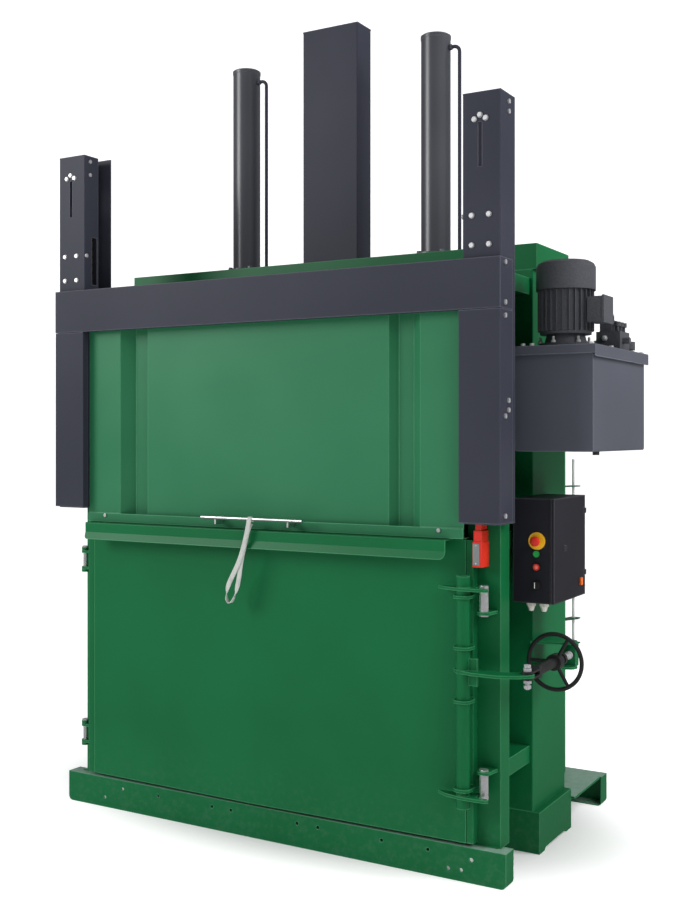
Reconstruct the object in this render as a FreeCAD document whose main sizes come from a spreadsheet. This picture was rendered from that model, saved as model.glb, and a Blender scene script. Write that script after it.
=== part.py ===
import FreeCAD, Part
import math
import os
from types import SimpleNamespace

import Sketcher
from FreeCAD import Placement, Rotation, Vector

# Vertical recycling baler with a hinged bale door, a sliding loading gate and a twin-cylinder press plate.
# Millimetres, +Z up, +X to the operator's right, +Y to the rear.
# The origin is on the floor, under the middle of the bale chamber.

SIZES = {
    # chamber and walls
    "chamber_width": 1829,
    "chamber_depth": 1067,
    "wall": 10,
    "wall_bottom": 120,
    "wall_top": 2380,
    "floor_top": 150,
    "rib_depth": 60,
    "rib_height": 69,
    "rib_sheet": 6,
    # base
    "base_overhang": 175.5,
    "base_clearance": 6.5,
    "base_height": 136,
    "base_channel": 75,
    "base_sheet": 6,
    "base_corner": 22,
    "deck_inset": 10,
    # yoke
    "yoke_depth": 386,
    "yoke_base_overhang": 149.5,
    "yoke_base_height": 170,
    "column_width": 120.5,
    "column_sheet": 8,
    "head_overhang": 137.5,
    "head_bottom": 2394,
    "head_top": 2500,
    # front posts and door frame
    "post_front": 570,
    "post_rear": 485,
    "post_width_right": 135.5,
    "post_width_left": 102.5,
    "post_wall": 5,
    "post_step": 1378,
    "post_back_front": 526,
    # covers and guide posts
    "cover_front": 695,
    "cover_offset": 15.5,
    "cover_width": 170,
    "cover_sheet": 4,
    "cover_bottom": 1383,
    "crossbar_bottom": 2187,
    "crossbar_top": 2378,
    "cover_return": 120,
    "guide_front": 675,
    "guide_inset": 9,
    "guide_width": 154,
    "guide_top": 3003,
    "guide_sheet": 5,
    "rail_front": 538,
    "rail_width": 37,
    "slot_front": 582,
    # press
    "guide_column_width": 295,
    "guide_column_depth": 128,
    "guide_column_top": 3607,
    "guide_column_wall": 8,
    "cylinder_offset": 513,
    "barrel_radius": 66,
    "barrel_bore": 50,
    "barrel_top": 3496,
    "rod_radius": 35,
    "platen_bottom": 2200,
    "platen_top": 2370,
    "platen_width": 1800,
    "platen_depth": 1040,
    "press_stroke": 950,
    "pipe_radius": 8,
    "pipe_offset": 116,
    # loading gate
    "gate_bottom": 1318,
    "gate_top": 2300,
    "gate_sheet": 3,
    "gate_gap": 7,
    "gate_front": 649,
    "gate_panel_front": 633,
    "gate_valley_front": 598,
    "gate_lift": 800,
    # bale door
    "door_lap_left": 18.5,
    "door_lap_right": 10.5,
    "door_front": 615,
    "door_rear": 574,
    "door_bottom": 150,
    "door_top": 1312,
    "door_bulge": 15,
    "door_skin": 5,
    "ledge_inset_left": 18,
    "ledge_inset_right": 50,
    "ledge_bottom": 1240,
    # hinge
    "hinge_offset": 77,
    "hinge_y": 590,
    "hinge_pin_radius": 10,
    "hinge_eye_radius": 17,
    "running_gap": 0.3,
    # latch
    "latch_offset": 10,
    "latch_y": 662,
    "latch_tube_radius": 26,
    "lock_pin_offset": 79,
    "lock_pin_y": 625,
    "lock_pin_radius": 18,
    "arm_sheet": 12,
    "lever_height": 813,
    "lever_end_offset": 240,
    "lever_end_y": 615,
    # handwheel
    "wheel_height": 820,
    "wheel_y": 318,
    "wheel_radius": 109,
    "rim_radius": 8.5,
    "sleeve_radius": 20,
    "sleeve_front": 515,
    "sleeve_rear": 240,
    "screw_radius": 13,
    # control box
    "box_standoff": 2,
    "box_width": 170,
    "box_front": 415,
    "box_rear": 48,
    "box_bottom": 1059,
    "box_top": 1467,
    # power pack
    "tank_standoff": 15,
    "tank_width": 315,
    "tank_front": 425,
    "tank_rear": 261,
    "tank_bottom": 1650,
    "tank_top": 2025,
    "lid_thickness": 35,
    "lid_overhang": 15,
    "motor_offset": 165,
    "motor_y": 305,
    "motor_radius": 112,
}

doc = FreeCAD.newDocument("baler")
sheet = doc.addObject("Spreadsheet::Sheet", "sizes")
for row, (alias, number) in enumerate(SIZES.items(), start=1):
    sheet.set(f"A{row}", alias)
    sheet.set(f"B{row}", str(number))
    sheet.setAlias(f"B{row}", alias)
doc.recompute()


class Size:
    """A number together with the spreadsheet expression that yields it."""

    def __init__(self, text, value):
        self.text = text
        self.value = float(value)

    def joined(self, sign, other, value):
        return Size(f"({self.text} {sign} {other.text})", value)

    def __add__(self, other):
        other = size(other)
        return self.joined("+", other, self.value + other.value)

    def __radd__(self, other):
        return size(other) + self

    def __sub__(self, other):
        other = size(other)
        return self.joined("-", other, self.value - other.value)

    def __rsub__(self, other):
        return size(other) - self

    def __mul__(self, other):
        other = size(other)
        return self.joined("*", other, self.value * other.value)

    def __rmul__(self, other):
        return size(other) * self

    def __truediv__(self, other):
        other = size(other)
        return self.joined("/", other, self.value / other.value)

    def __neg__(self):
        return 0 - self


def size(value):
    return value if isinstance(value, Size) else Size(f"{float(value):.6g}", value)


d = SimpleNamespace(**{alias: Size(f"sizes.{alias}", number) for alias, number in SIZES.items()})

# planes across the machine, all measured outwards from the side walls
wall_inner = d.chamber_width / 2
wall_outer = wall_inner + d.wall
base_half = wall_outer + d.base_overhang
deck_reach = base_half - d.deck_inset
column_reach = wall_outer + d.column_width
cover_inner = wall_outer + d.cover_offset
cover_reach = cover_inner + d.cover_width
guide_inner = cover_inner + d.guide_inset
guide_reach = guide_inner + d.guide_width
rail_inner = guide_inner - d.rail_width
gate_reach = guide_inner - d.gate_gap
door_left = wall_outer + d.door_lap_left
door_right = wall_outer + d.door_lap_right
ledge_left = door_left - d.ledge_inset_left
ledge_right = door_right - d.ledge_inset_right
latch_x = door_right + d.latch_offset
lock_pin_x = door_right + d.lock_pin_offset
lever_end_x = latch_x + d.lever_end_offset
box_inner = column_reach + d.box_standoff
box_outer = box_inner + d.box_width
tank_inner = column_reach + d.tank_standoff
tank_outer = tank_inner + d.tank_width
motor_x = tank_inner + d.motor_offset

nodes = []


def bind(item, prop, value):
    item.setExpression(prop, size(value).text)


def block(name, across, along, up):
    """A box between two planes on each axis."""
    box = doc.addObject("Part::Box", name)
    for side, axis, (low, high) in (("Length", "x", across), ("Width", "y", along), ("Height", "z", up)):
        bind(box, side, size(high) - low)
        bind(box, "Placement.Base." + axis, low)
    return box


TURNS = {
    "x": Rotation(Vector(0, 1, 0), 90),
    "y": Rotation(Vector(1, 0, 0), -90),
    "z": Rotation(),
}


def place(item, point, turn=None):
    if turn is not None:
        item.Placement = Placement(Vector(), turn)
    for axis, value in zip("xyz", point):
        bind(item, "Placement.Base." + axis, value)
    return item


def rod(name, start, radius, length, axis="z"):
    """A round bar from its start point towards the positive end of an axis."""
    bar = doc.addObject("Part::Cylinder", name)
    bind(bar, "Radius", radius)
    bind(bar, "Height", length)
    return place(bar, start, TURNS[axis])


def cone(name, start, radius_start, radius_end, length, axis="z"):
    taper = doc.addObject("Part::Cone", name)
    bind(taper, "Radius1", radius_start)
    bind(taper, "Radius2", radius_end)
    bind(taper, "Height", length)
    return place(taper, start, TURNS[axis])


def ring(name, centre, radius, tube, axis="z"):
    hoop = doc.addObject("Part::Torus", name)
    bind(hoop, "Radius1", radius)
    bind(hoop, "Radius2", tube)
    return place(hoop, centre, TURNS[axis])


def rolled_rim(name, centre, radius, bar_radius, sides=12):
    """A wheel rim about the y axis, swept from a many-sided bar."""
    section = doc.addObject("Part::RegularPolygon", name + "_section")
    section.Polygon = sides
    bind(section, "Circumradius", bar_radius)
    place(section, (centre[0] + radius, centre[1], centre[2]))
    rim = doc.addObject("Part::Revolution", name)
    rim.Source = section
    rim.Solid = True
    rim.Axis = Vector(0, 1, 0)
    for axis, value in zip("xyz", centre):
        bind(rim, "Base." + axis, value)
    return rim


def cut(name, base, *tools):
    result = doc.addObject("Part::Cut", name)
    result.Base = base
    result.Tool = tools[0] if len(tools) == 1 else fuse(name + "_tools", *tools)
    return result


def fuse(name, *pieces):
    result = doc.addObject("Part::MultiFuse", name)
    result.Shapes = list(pieces)
    return result


def group(name, *pieces):
    """Pieces that stay separate solids in one node."""
    result = doc.addObject("Part::Compound", name)
    result.Links = list(pieces)
    return result


def tube(name, start, outer, inner, length, axis="z"):
    return cut(name, rod(name + "_outer", start, outer, length, axis), rod(name + "_bore", start, inner, length, axis))


def hexagon(name, centre, across_flats, height, axis="z"):
    """A nut or a screw head."""
    head = doc.addObject("Part::Prism", name)
    head.Polygon = 6
    bind(head, "Circumradius", size(across_flats) / math.sqrt(3))
    bind(head, "Height", height)
    return place(head, centre, TURNS[axis])


PLANES = {
    "xy": ("XY_Plane", Vector(0, 0, 1)),
    "xz": ("XZ_Plane", Vector(0, -1, 0)),
    "yz": ("YZ_Plane", Vector(1, 0, 0)),
}


def draw(sketch, outline):
    """Closed outline whose corners are held by dimensions from the sketch origin."""
    corners = [(size(a), size(b)) for a, b in outline]
    first = sketch.GeometryCount
    count = len(corners)
    for index, (a, b) in enumerate(corners):
        after_a, after_b = corners[(index + 1) % count]
        line = Part.LineSegment(Vector(a.value, b.value, 0), Vector(after_a.value, after_b.value, 0))
        sketch.addGeometry(line, False)
    for index, (a, b) in enumerate(corners):
        line = first + index
        sketch.addConstraint(Sketcher.Constraint("Coincident", line, 2, first + (index + 1) % count, 1))
        for kind, value in (("DistanceX", a), ("DistanceY", b)):
            number = sketch.addConstraint(Sketcher.Constraint(kind, -1, 1, line, 1, value.value))
            sketch.setExpression(f"Constraints[{number}]", value.text)


def draw_circle(sketch, a, b, radius):
    a, b, radius = size(a), size(b), size(radius)
    circle = sketch.addGeometry(Part.Circle(Vector(a.value, b.value, 0), Vector(0, 0, 1), radius.value), False)
    for kind, value in (("DistanceX", a), ("DistanceY", b)):
        number = sketch.addConstraint(Sketcher.Constraint(kind, -1, 1, circle, 3, value.value))
        sketch.setExpression(f"Constraints[{number}]", value.text)
    number = sketch.addConstraint(Sketcher.Constraint("Radius", circle, radius.value))
    sketch.setExpression(f"Constraints[{number}]", radius.text)


def profile(name, plane, outline, low, high, openings=(), holes=(), rounded=()):
    """Outline on a principal plane, extruded between two heights, with its own openings and holes.

    rounded lists (corner, radius) pairs, where a corner is the number of a point of the outline.
    """
    body = doc.addObject("PartDesign::Body", name)
    sketch = body.newObject("Sketcher::SketchObject", name + "_sketch")
    role, normal = PLANES[plane]
    sketch.AttachmentSupport = [(find_plane(body, role), "")]
    sketch.MapMode = "FlatFace"
    bind(sketch, "AttachmentOffset.Base.z", -size(high) if plane == "xz" else size(low))
    draw(sketch, outline)
    for opening in openings:
        draw(sketch, opening)
    for a, b, radius in holes:
        draw_circle(sketch, a, b, radius)
    pad = body.newObject("PartDesign::Pad", name + "_pad")
    pad.Profile = sketch
    bind(pad, "Length", size(high) - low)
    sketch.Visibility = False
    if rounded:
        doc.recompute()
        for radius in sorted({size(radius).text: size(radius) for _, radius in rounded}.values(),
                             key=lambda entry: entry.value):
            chosen = [outline[corner] for corner, own in rounded if size(own).text == radius.text]
            solid = body.Tip
            names = [f"Edge{number}" for number, edge in enumerate(solid.Shape.Edges, start=1)
                     if edge_at_corner(edge, plane, chosen)]
            fillet = body.newObject("PartDesign::Fillet", f"{name}_round")
            fillet.Base = (solid, names)
            bind(fillet, "Radius", radius)
            body.Tip = fillet
            doc.recompute()
    return body


def find_plane(body, role):
    return next(feature for feature in body.Origin.OriginFeatures if feature.Role == role)


def edge_at_corner(edge, plane, corners):
    """Whether an edge runs along the extrusion at one of the outline's corners."""
    if len(edge.Vertexes) != 2:
        return False
    kept = {"xy": (0, 1), "xz": (0, 2), "yz": (1, 2)}[plane]
    ends = [[vertex.Point[axis] for axis in kept] for vertex in edge.Vertexes]
    for a, b in corners:
        target = (size(a).value, size(b).value)
        if all(math.dist(end, target) < 0.01 for end in ends):
            return True
    return False


def rectangle(a_low, a_high, b_low, b_high):
    return [(a_low, b_low), (a_high, b_low), (a_high, b_high), (a_low, b_high)]


def finish(item, node):
    """The item becomes one sub-part under its own label."""
    item.Label = node
    nodes.append((node, item))
    return item


def span(side, near, far):
    """A span across the machine on its right (+1) or left (-1) side, from the middle outwards."""
    return (size(near), size(far)) if side > 0 else (-size(far), -size(near))


SIDES = (("right", 1), ("left", -1))

# ---------------------------------------------------------------- base and yoke

depth_half = d.chamber_depth / 2
base_rear = depth_half + d.base_clearance + d.base_channel
base_front = -base_rear
yoke_half = d.yoke_depth / 2


def channel_outline(web, toe, low, high, thickness):
    """C section with its web at one depth and both flanges ending at the toe."""
    inside = web + thickness if size(toe).value > size(web).value else web - thickness
    return [(web, low), (toe, low), (toe, low + thickness), (inside, low + thickness),
            (inside, high - thickness), (toe, high - thickness), (toe, high), (web, high)]


def base_beam(name, web, toe, web_holes):
    """Folded channel across the machine with closed ends and rounded lower corners."""
    section = profile(name + "_section", "yz", channel_outline(web, toe, 0, d.base_height, d.base_sheet),
                      -base_half, base_half)
    low, high = sorted((size(web), size(toe)), key=lambda entry: entry.value)
    ends = [block(name + f"_end_{tag}", (a, b), (low, high), (0, d.base_height))
            for tag, (a, b) in (("left", (-base_half, -base_half + d.base_sheet)),
                                ("right", (base_half - d.base_sheet, base_half)))]
    outer = profile(name + "_corners", "xz", rectangle(-base_half, base_half, 0, d.base_height), low, high,
                    rounded=((0, d.base_corner), (1, d.base_corner)))
    whole = doc.addObject("Part::MultiCommon", name + "_shape")
    whole.Shapes = [fuse(name + "_welded", section, *ends), outer]
    drills = [rod(f"{name}_hole_{index}", (x, low - 1, z), radius, d.base_channel + 2, "y")
              for index, (x, z, radius) in enumerate(web_holes)]
    anchors = [rod(f"{name}_anchor_{index}", (x, (web + toe) / 2, -1), 9, d.base_sheet + 2)
               for index, x in enumerate((-1030, 1030))]
    return cut(name, whole, *drills, *anchors)


front_holes = [(sign * x, 98, 7) for x in (168.5, 270, 568, 773) for sign in (-1, 1)]
front_holes += [(957, 90, 8), (860, 42, 7), (915, 44, 7), (-879, 45, 7)]
deck_left = block("deck_left", (-deck_reach, -wall_outer), (yoke_half, base_rear - d.base_channel),
                  (d.base_height - 10, d.base_height))
deck_right = block("deck_right", (wall_outer, deck_reach), (yoke_half, base_rear - d.base_channel),
                   (d.base_height - 10, d.base_height))
finish(group("base_beams", base_beam("front_beam", base_front, base_front + d.base_channel, front_holes),
             base_beam("rear_beam", base_rear, base_rear - d.base_channel, ()), deck_left, deck_right), "base_beams")

yoke_base_half = wall_outer + d.yoke_base_overhang
yoke_base_outline = [
    (-yoke_half, 0), (-yoke_half + 60, 0), (-yoke_half + 72, 12), (yoke_half - 72, 12), (yoke_half - 60, 0),
    (yoke_half, 0), (yoke_half, d.wall_bottom), (-yoke_half, d.wall_bottom)]
yoke_base_inside = rectangle(-yoke_half + d.column_sheet, yoke_half - d.column_sheet,
                             12 + d.column_sheet, d.wall_bottom - d.column_sheet)
yoke_base = profile("yoke_base", "yz", yoke_base_outline, -yoke_base_half, yoke_base_half)
yoke_cavity = profile("yoke_cavity", "yz", yoke_base_inside, -yoke_base_half + d.column_sheet,
                      yoke_base_half - d.column_sheet)
yoke_toes = [block(f"yoke_toe_{tag}", span(sign, wall_outer, yoke_base_half), (-yoke_half, yoke_half),
                   (d.wall_bottom, d.yoke_base_height)) for tag, sign in SIDES]
yoke_sole = block("yoke_sole", (-400, 400), (-yoke_half + 72, yoke_half - 72), (0, 12))
finish(fuse("yoke_base_beam", cut("yoke_base_box", yoke_base, yoke_cavity), yoke_sole, *yoke_toes), "yoke_base_beam")

columns = []
for tag, sign in SIDES:
    near, far = (wall_outer, column_reach) if sign > 0 else (-wall_outer, -column_reach)
    skin = d.column_sheet if sign > 0 else -d.column_sheet
    outline = [(near, -yoke_half), (far, -yoke_half), (far, yoke_half), (near, yoke_half),
               (near, yoke_half - d.column_sheet), (far - skin, yoke_half - d.column_sheet),
               (far - skin, -yoke_half + d.column_sheet), (near, -yoke_half + d.column_sheet)]
    columns.append(profile(f"column_{tag}", "xy", outline, d.yoke_base_height, d.head_bottom,
                           rounded=((1, 5), (2, 5))))
finish(group("columns", *columns), "yoke_columns")

head_half = wall_outer + d.head_overhang
barrel_hole = d.barrel_radius + 1
column_gap = 6
head_outline = rectangle(-head_half, head_half, -yoke_half, yoke_half)
head_openings = (rectangle(-d.guide_column_width / 2 - column_gap, d.guide_column_width / 2 + column_gap,
                           -d.guide_column_depth / 2 - column_gap, d.guide_column_depth / 2 + column_gap),)
head_holes = [(sign * d.cylinder_offset, 0, barrel_hole) for sign in (-1, 1)]
head_plates = [profile(f"head_plate_{tag}", "xy", head_outline, low, high, openings=head_openings, holes=head_holes)
               for tag, low, high in (("low", d.head_bottom, d.head_bottom + 12),
                                      ("high", d.head_top - 12, d.head_top))]
head_sides = [block(f"head_side_{tag}", (-head_half, head_half), along, (d.head_bottom + 12, d.head_top - 12))
              for tag, along in (("front", (-yoke_half, -yoke_half + 12)), ("rear", (yoke_half - 12, yoke_half)))]
head_ends = [block(f"head_end_{tag}", span(sign, head_half - 12, head_half), (-yoke_half + 12, yoke_half - 12),
                   (d.head_bottom + 12, d.head_top - 12)) for tag, sign in SIDES]
head_ribs = [block(f"head_rib_{tag}_{index}", span(sign, x, x + 10), (-yoke_half + 12, yoke_half - 12),
                   (d.head_bottom + 12, d.head_top - 12))
             for tag, sign in SIDES for index, x in enumerate((200, 400, 620))]
finish(fuse("head_beam", *head_plates, *head_sides, *head_ends, *head_ribs), "yoke_head_beam")

pad_run = d.guide_column_width / 2 + 0.5
pad_edge = d.guide_column_depth / 2 + 0.5
pads = [block(f"pad_side_{tag}", span(sign, pad_run, d.guide_column_width / 2 + column_gap), (-50, 50),
              (d.head_bottom, d.head_top)) for tag, sign in SIDES]
pads += [block(f"pad_face_{tag}", (-110, 110), span(sign, pad_edge, d.guide_column_depth / 2 + column_gap),
               (d.head_bottom, d.head_top)) for tag, sign in SIDES]
finish(group("guide_pads", *pads), "guide_pads")

# ---------------------------------------------------------------- chamber

floor_plate = block("floor_plate", (-wall_inner, wall_inner), (-depth_half, depth_half),
                    (d.wall_bottom, d.floor_top))
tie_grooves = [block(f"tie_groove_{index}", (x - 16, x + 16), (-depth_half - 1, depth_half + 1),
                     (d.floor_top - 20, d.floor_top + 1)) for index, x in enumerate((-600, -300, 0, 300, 600))]
grooved_floor = cut("floor", floor_plate, *tie_grooves)

bearers = []
for index, x in enumerate((-760, -300, 300, 760)):
    for tag, along in (("front", (base_front + d.base_channel, -yoke_half)),
                       ("rear", (yoke_half, base_rear - d.base_channel))):
        outline = channel_outline(x - 30, x + 30, 40, d.wall_bottom, 5)
        bearers.append(profile(f"bearer_{index}_{tag}", "xz", outline, *along))
finish(fuse("floor_welded", grooved_floor, *bearers), "chamber_floor")

side_walls = [block(f"wall_{tag}", span(sign, wall_inner, wall_outer), (-depth_half, depth_half),
                    (d.wall_bottom, d.wall_top)) for tag, sign in SIDES]
finish(group("side_walls", *side_walls), "side_walls")
rear_wall = block("wall_rear", (-wall_outer, wall_outer), (depth_half, depth_half + d.wall),
                  (d.base_height, d.wall_top))
tie_slots = [block(f"tie_slot_{index}", (x - 12, x + 12), (depth_half - 1, depth_half + d.wall + 1), (180, 1250))
             for index, x in enumerate((-600, -300, 0, 300, 600))]
finish(cut("wall_rear_slotted", rear_wall, *tie_slots), "rear_wall")


def side_rib(name, sign, along, height, reach):
    """Channel rib across a side wall, with its flanges towards the wall."""
    near, far = (wall_outer, size(reach)) if sign > 0 else (-wall_outer, -size(reach))
    return profile(name, "xz", channel_outline(far, near, height, height + d.rib_height, d.rib_sheet), *along)


side_ribs = [side_rib(f"rib_{tag}_{height}", sign, (-d.post_rear, -yoke_half), height, column_reach - 15)
             for tag, sign in SIDES for height in (371, 1265, 1950, 2290)]
finish(group("side_ribs", *side_ribs), "side_ribs")

rear_ribs = [profile(f"rear_rib_{index}", "yz",
                     channel_outline(depth_half + d.wall + d.rib_depth, depth_half + d.wall, height,
                                     height + d.rib_height, d.rib_sheet), -wall_outer + 40, wall_outer - 40)
             for index, height in enumerate((1300, 1600, 1950, 2290))]
rear_posts = []
for index, x in enumerate((-450, -150, 150, 450)):
    outline = [(x - 40, depth_half + d.wall), (x - 40, depth_half + d.wall + d.rib_depth),
               (x + 40, depth_half + d.wall + d.rib_depth), (x + 40, depth_half + d.wall),
               (x + 34, depth_half + d.wall), (x + 34, depth_half + d.wall + d.rib_depth - 6),
               (x - 34, depth_half + d.wall + d.rib_depth - 6), (x - 34, depth_half + d.wall)]
    rear_posts.append(profile(f"rear_post_{index}", "xy", outline, d.base_height + 4, 1300))
finish(group("rear_frame", *rear_ribs, *rear_posts), "rear_ribs")


def front_post(tag, sign, reach):
    """Square post beside the door that steps back behind the guide post."""
    outline = [(-d.post_front, d.base_height), (-d.post_rear, d.base_height), (-d.post_rear, d.wall_top),
               (-d.post_back_front, d.wall_top), (-d.post_back_front, d.post_step), (-d.post_front, d.post_step)]
    near, far = span(sign, wall_outer, reach)
    solid = profile(f"post_{tag}_solid", "yz", outline, near, far)
    core = block(f"post_{tag}_core", (near + d.post_wall, far - d.post_wall),
                 (-d.post_front + d.post_wall, -d.post_rear - d.post_wall),
                 (d.base_height + d.post_wall, d.post_step - d.post_wall))
    upper = block(f"post_{tag}_upper_core", (near + d.post_wall, far - d.post_wall),
                  (-d.post_back_front + d.post_wall, -d.post_rear - d.post_wall),
                  (d.post_step, d.wall_top - d.post_wall))
    return cut(f"post_{tag}", solid, core, upper)


finish(group("front_posts", front_post("right", 1, wall_outer + d.post_width_right),
             front_post("left", -1, wall_outer + d.post_width_left)), "front_posts")

# ---------------------------------------------------------------- dark covers and guide posts

crossbar_flange = 30
front_sheet = block("crossbar_sheet", (-cover_reach, cover_reach), (-d.cover_front, -d.cover_front + d.cover_sheet),
                    (d.crossbar_bottom, d.crossbar_top))
folds = [block(f"crossbar_fold_{tag}", (-cover_reach, cover_reach),
               (-d.cover_front, -d.cover_front + crossbar_flange), up)
         for tag, up in (("low", (d.crossbar_bottom, d.crossbar_bottom + d.cover_sheet)),
                         ("high", (d.crossbar_top - d.cover_sheet, d.crossbar_top)))]
returns = [block(f"crossbar_return_{tag}", span(sign, cover_reach - d.cover_sheet, cover_reach),
                 (-d.cover_front, -d.cover_front + d.cover_return), (d.crossbar_bottom, d.crossbar_top))
           for tag, sign in SIDES]
clearances = [block(f"crossbar_relief_{tag}", span(sign, guide_inner - 2, guide_reach + 1),
                    (-d.guide_front - 0.5, -d.guide_front + 40), (d.crossbar_bottom - 1, d.crossbar_top + 1))
              for tag, sign in SIDES]
finish(cut("crossbar", fuse("crossbar_folded", front_sheet, *folds, *returns), *clearances), "crossbar")

covers = []
for tag, sign in SIDES:
    inner, outer = (cover_inner, cover_reach) if sign > 0 else (-cover_inner, -cover_reach)
    skin = d.cover_sheet if sign > 0 else -d.cover_sheet
    front, rear = -d.cover_front, -d.cover_front + d.cover_return
    outline = [(inner, front), (outer, front), (outer, rear), (outer - skin, rear), (outer - skin, front + d.cover_sheet),
               (inner + skin, front + d.cover_sheet), (inner + skin, front + 30), (inner, front + 30)]
    covers.append(profile(f"cover_{tag}", "xy", outline, d.cover_bottom, d.crossbar_bottom - 2,
                          rounded=((0, 3), (1, 3))))
finish(group("covers", *covers), "guide_covers")

guide_posts = []
for tag, sign in SIDES:
    inner, outer, rail = [value if sign > 0 else -value for value in (guide_inner, guide_reach, rail_inner)]
    skin = d.guide_sheet if sign > 0 else -d.guide_sheet
    front = -d.guide_front
    rail_rear = -d.rail_front + 4
    outline = [(inner, front), (outer, front), (outer, rail_rear), (rail, rail_rear), (rail, -d.rail_front),
               (outer - skin, -d.rail_front), (outer - skin, front + d.guide_sheet),
               (inner + skin, front + d.guide_sheet), (inner + skin, -d.slot_front), (inner, -d.slot_front)]
    channel = profile(f"guide_{tag}_channel", "xy", outline, d.post_step, d.guide_top, rounded=((0, 3), (1, 3)))
    middle = (inner + outer) / 2
    adjuster_slot = block(f"guide_{tag}_slot", (middle - 13, middle + 1), (front - 1, front + d.guide_sheet + 1),
                          (2722, 2889))
    side_slot = block(f"guide_{tag}_side_slot", span(sign, guide_inner - 1, guide_inner + d.guide_sheet + 1),
                      (-626, -592), (2410, 2628))
    cap = block(f"guide_{tag}_cap", span(sign, guide_inner, guide_reach), (front, -d.slot_front),
                (d.guide_top - 5, d.guide_top))
    guide_posts.append(cut(f"guide_{tag}", fuse(f"guide_{tag}_welded", channel, cap), adjuster_slot, side_slot))
finish(group("guide_posts", *guide_posts), "guide_posts")

# ---------------------------------------------------------------- press

column_tube = profile("guide_column_tube", "xy",
               rectangle(-d.guide_column_width / 2, d.guide_column_width / 2,
                         -d.guide_column_depth / 2, d.guide_column_depth / 2),
               d.platen_top, d.guide_column_top - 6,
               openings=(rectangle(-d.guide_column_width / 2 + d.guide_column_wall,
                                   d.guide_column_width / 2 - d.guide_column_wall,
                                   -d.guide_column_depth / 2 + d.guide_column_wall,
                                   d.guide_column_depth / 2 - d.guide_column_wall),),
               rounded=((0, 6), (1, 6), (2, 6), (3, 6)))
column_cap = block("column_cap", (-d.guide_column_width / 2, d.guide_column_width / 2),
             (-d.guide_column_depth / 2, d.guide_column_depth / 2),
             (d.guide_column_top - 6, d.guide_column_top))
finish(fuse("guide_column_whole", column_tube, column_cap), "guide_column")

gland_height = 46
piston_thickness = 40
piston_low = d.barrel_top - 30 - piston_thickness - 4
barrels = []
flange_pieces = []
rod_pieces = []
pipe_pieces = []
for tag, sign in SIDES:
    x = sign * d.cylinder_offset
    barrel_low = d.head_bottom + 4
    outside = rod(f"barrel_{tag}_outside", (x, 0, barrel_low), d.barrel_radius, d.barrel_top - barrel_low - 4)
    lip = rod(f"barrel_{tag}_lip", (x, 0, d.barrel_top - 18), d.barrel_radius + 2, 14)
    crown = cone(f"barrel_{tag}_crown", (x, 0, d.barrel_top - 4), d.barrel_radius + 2, d.barrel_radius - 4, 4)
    bore = rod(f"barrel_{tag}_bore", (x, 0, barrel_low + gland_height), d.barrel_bore,
               d.barrel_top - 30 - barrel_low - gland_height)
    gland = rod(f"barrel_{tag}_gland", (x, 0, barrel_low - 1), d.rod_radius + d.running_gap, gland_height + 2)
    barrels.append(cut(f"barrel_{tag}", fuse(f"barrel_{tag}_whole", outside, lip, crown), bore, gland))
    collar = tube(f"collar_{tag}", (x, 0, d.head_top), d.barrel_radius + 26, d.barrel_radius, 22)
    bolts = [hexagon(f"collar_bolt_{tag}_{index}",
                     (x + 80 * math.cos(math.radians(angle)), 80 * math.sin(math.radians(angle)), d.head_top + 22),
                     19, 10) for index, angle in enumerate((45, 135, 225, 315))]
    flange_pieces += [collar, *bolts]
    rod_pieces.append(fuse(f"piston_rod_{tag}",
                           rod(f"piston_rod_{tag}_bar", (x, 0, d.platen_top), d.rod_radius,
                               piston_low - d.platen_top),
                           rod(f"piston_{tag}", (x, 0, piston_low), d.barrel_bore - d.running_gap,
                               piston_thickness)))
    bend = 26
    pipe_x = x + d.pipe_offset
    pipe_high = d.barrel_top - 62
    elbow = ring(f"pipe_elbow_{tag}", (pipe_x - bend, 0, pipe_high - bend), bend, d.pipe_radius)
    elbow.Angle3 = 90
    place(elbow, (pipe_x - bend, 0, pipe_high - bend), Rotation(Vector(1, 0, 0), 90))
    stub = rod(f"pipe_stub_{tag}", (x + d.barrel_radius - 1, 0, pipe_high), d.pipe_radius,
               d.pipe_offset - bend - d.barrel_radius + 1, "x")
    drop = rod(f"pipe_drop_{tag}", (pipe_x, 0, d.head_top), d.pipe_radius, pipe_high - bend - d.head_top)
    union = hexagon(f"pipe_union_{tag}", (x + d.barrel_radius, 0, pipe_high), 24, 12, "x")
    foot = hexagon(f"pipe_foot_{tag}", (pipe_x, 0, d.head_top), 27, 24)
    barrel_space = rod(f"pipe_space_{tag}", (x, 0, d.head_top), d.barrel_radius, d.barrel_top - d.head_top)
    collar_space = rod(f"pipe_collar_space_{tag}", (x, 0, d.head_top - 1), d.barrel_radius + 26, 23)
    pipe_pieces.append(cut(f"pipe_{tag}", fuse(f"pipe_{tag}_whole", elbow, stub, drop, union, foot),
                           barrel_space, collar_space))
finish(group("cylinders", *barrels, *flange_pieces), "cylinder_barrels")
finish(group("piston_rods", *rod_pieces), "piston_rods")
finish(group("cylinder_pipes", *pipe_pieces), "cylinder_pipes")

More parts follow.
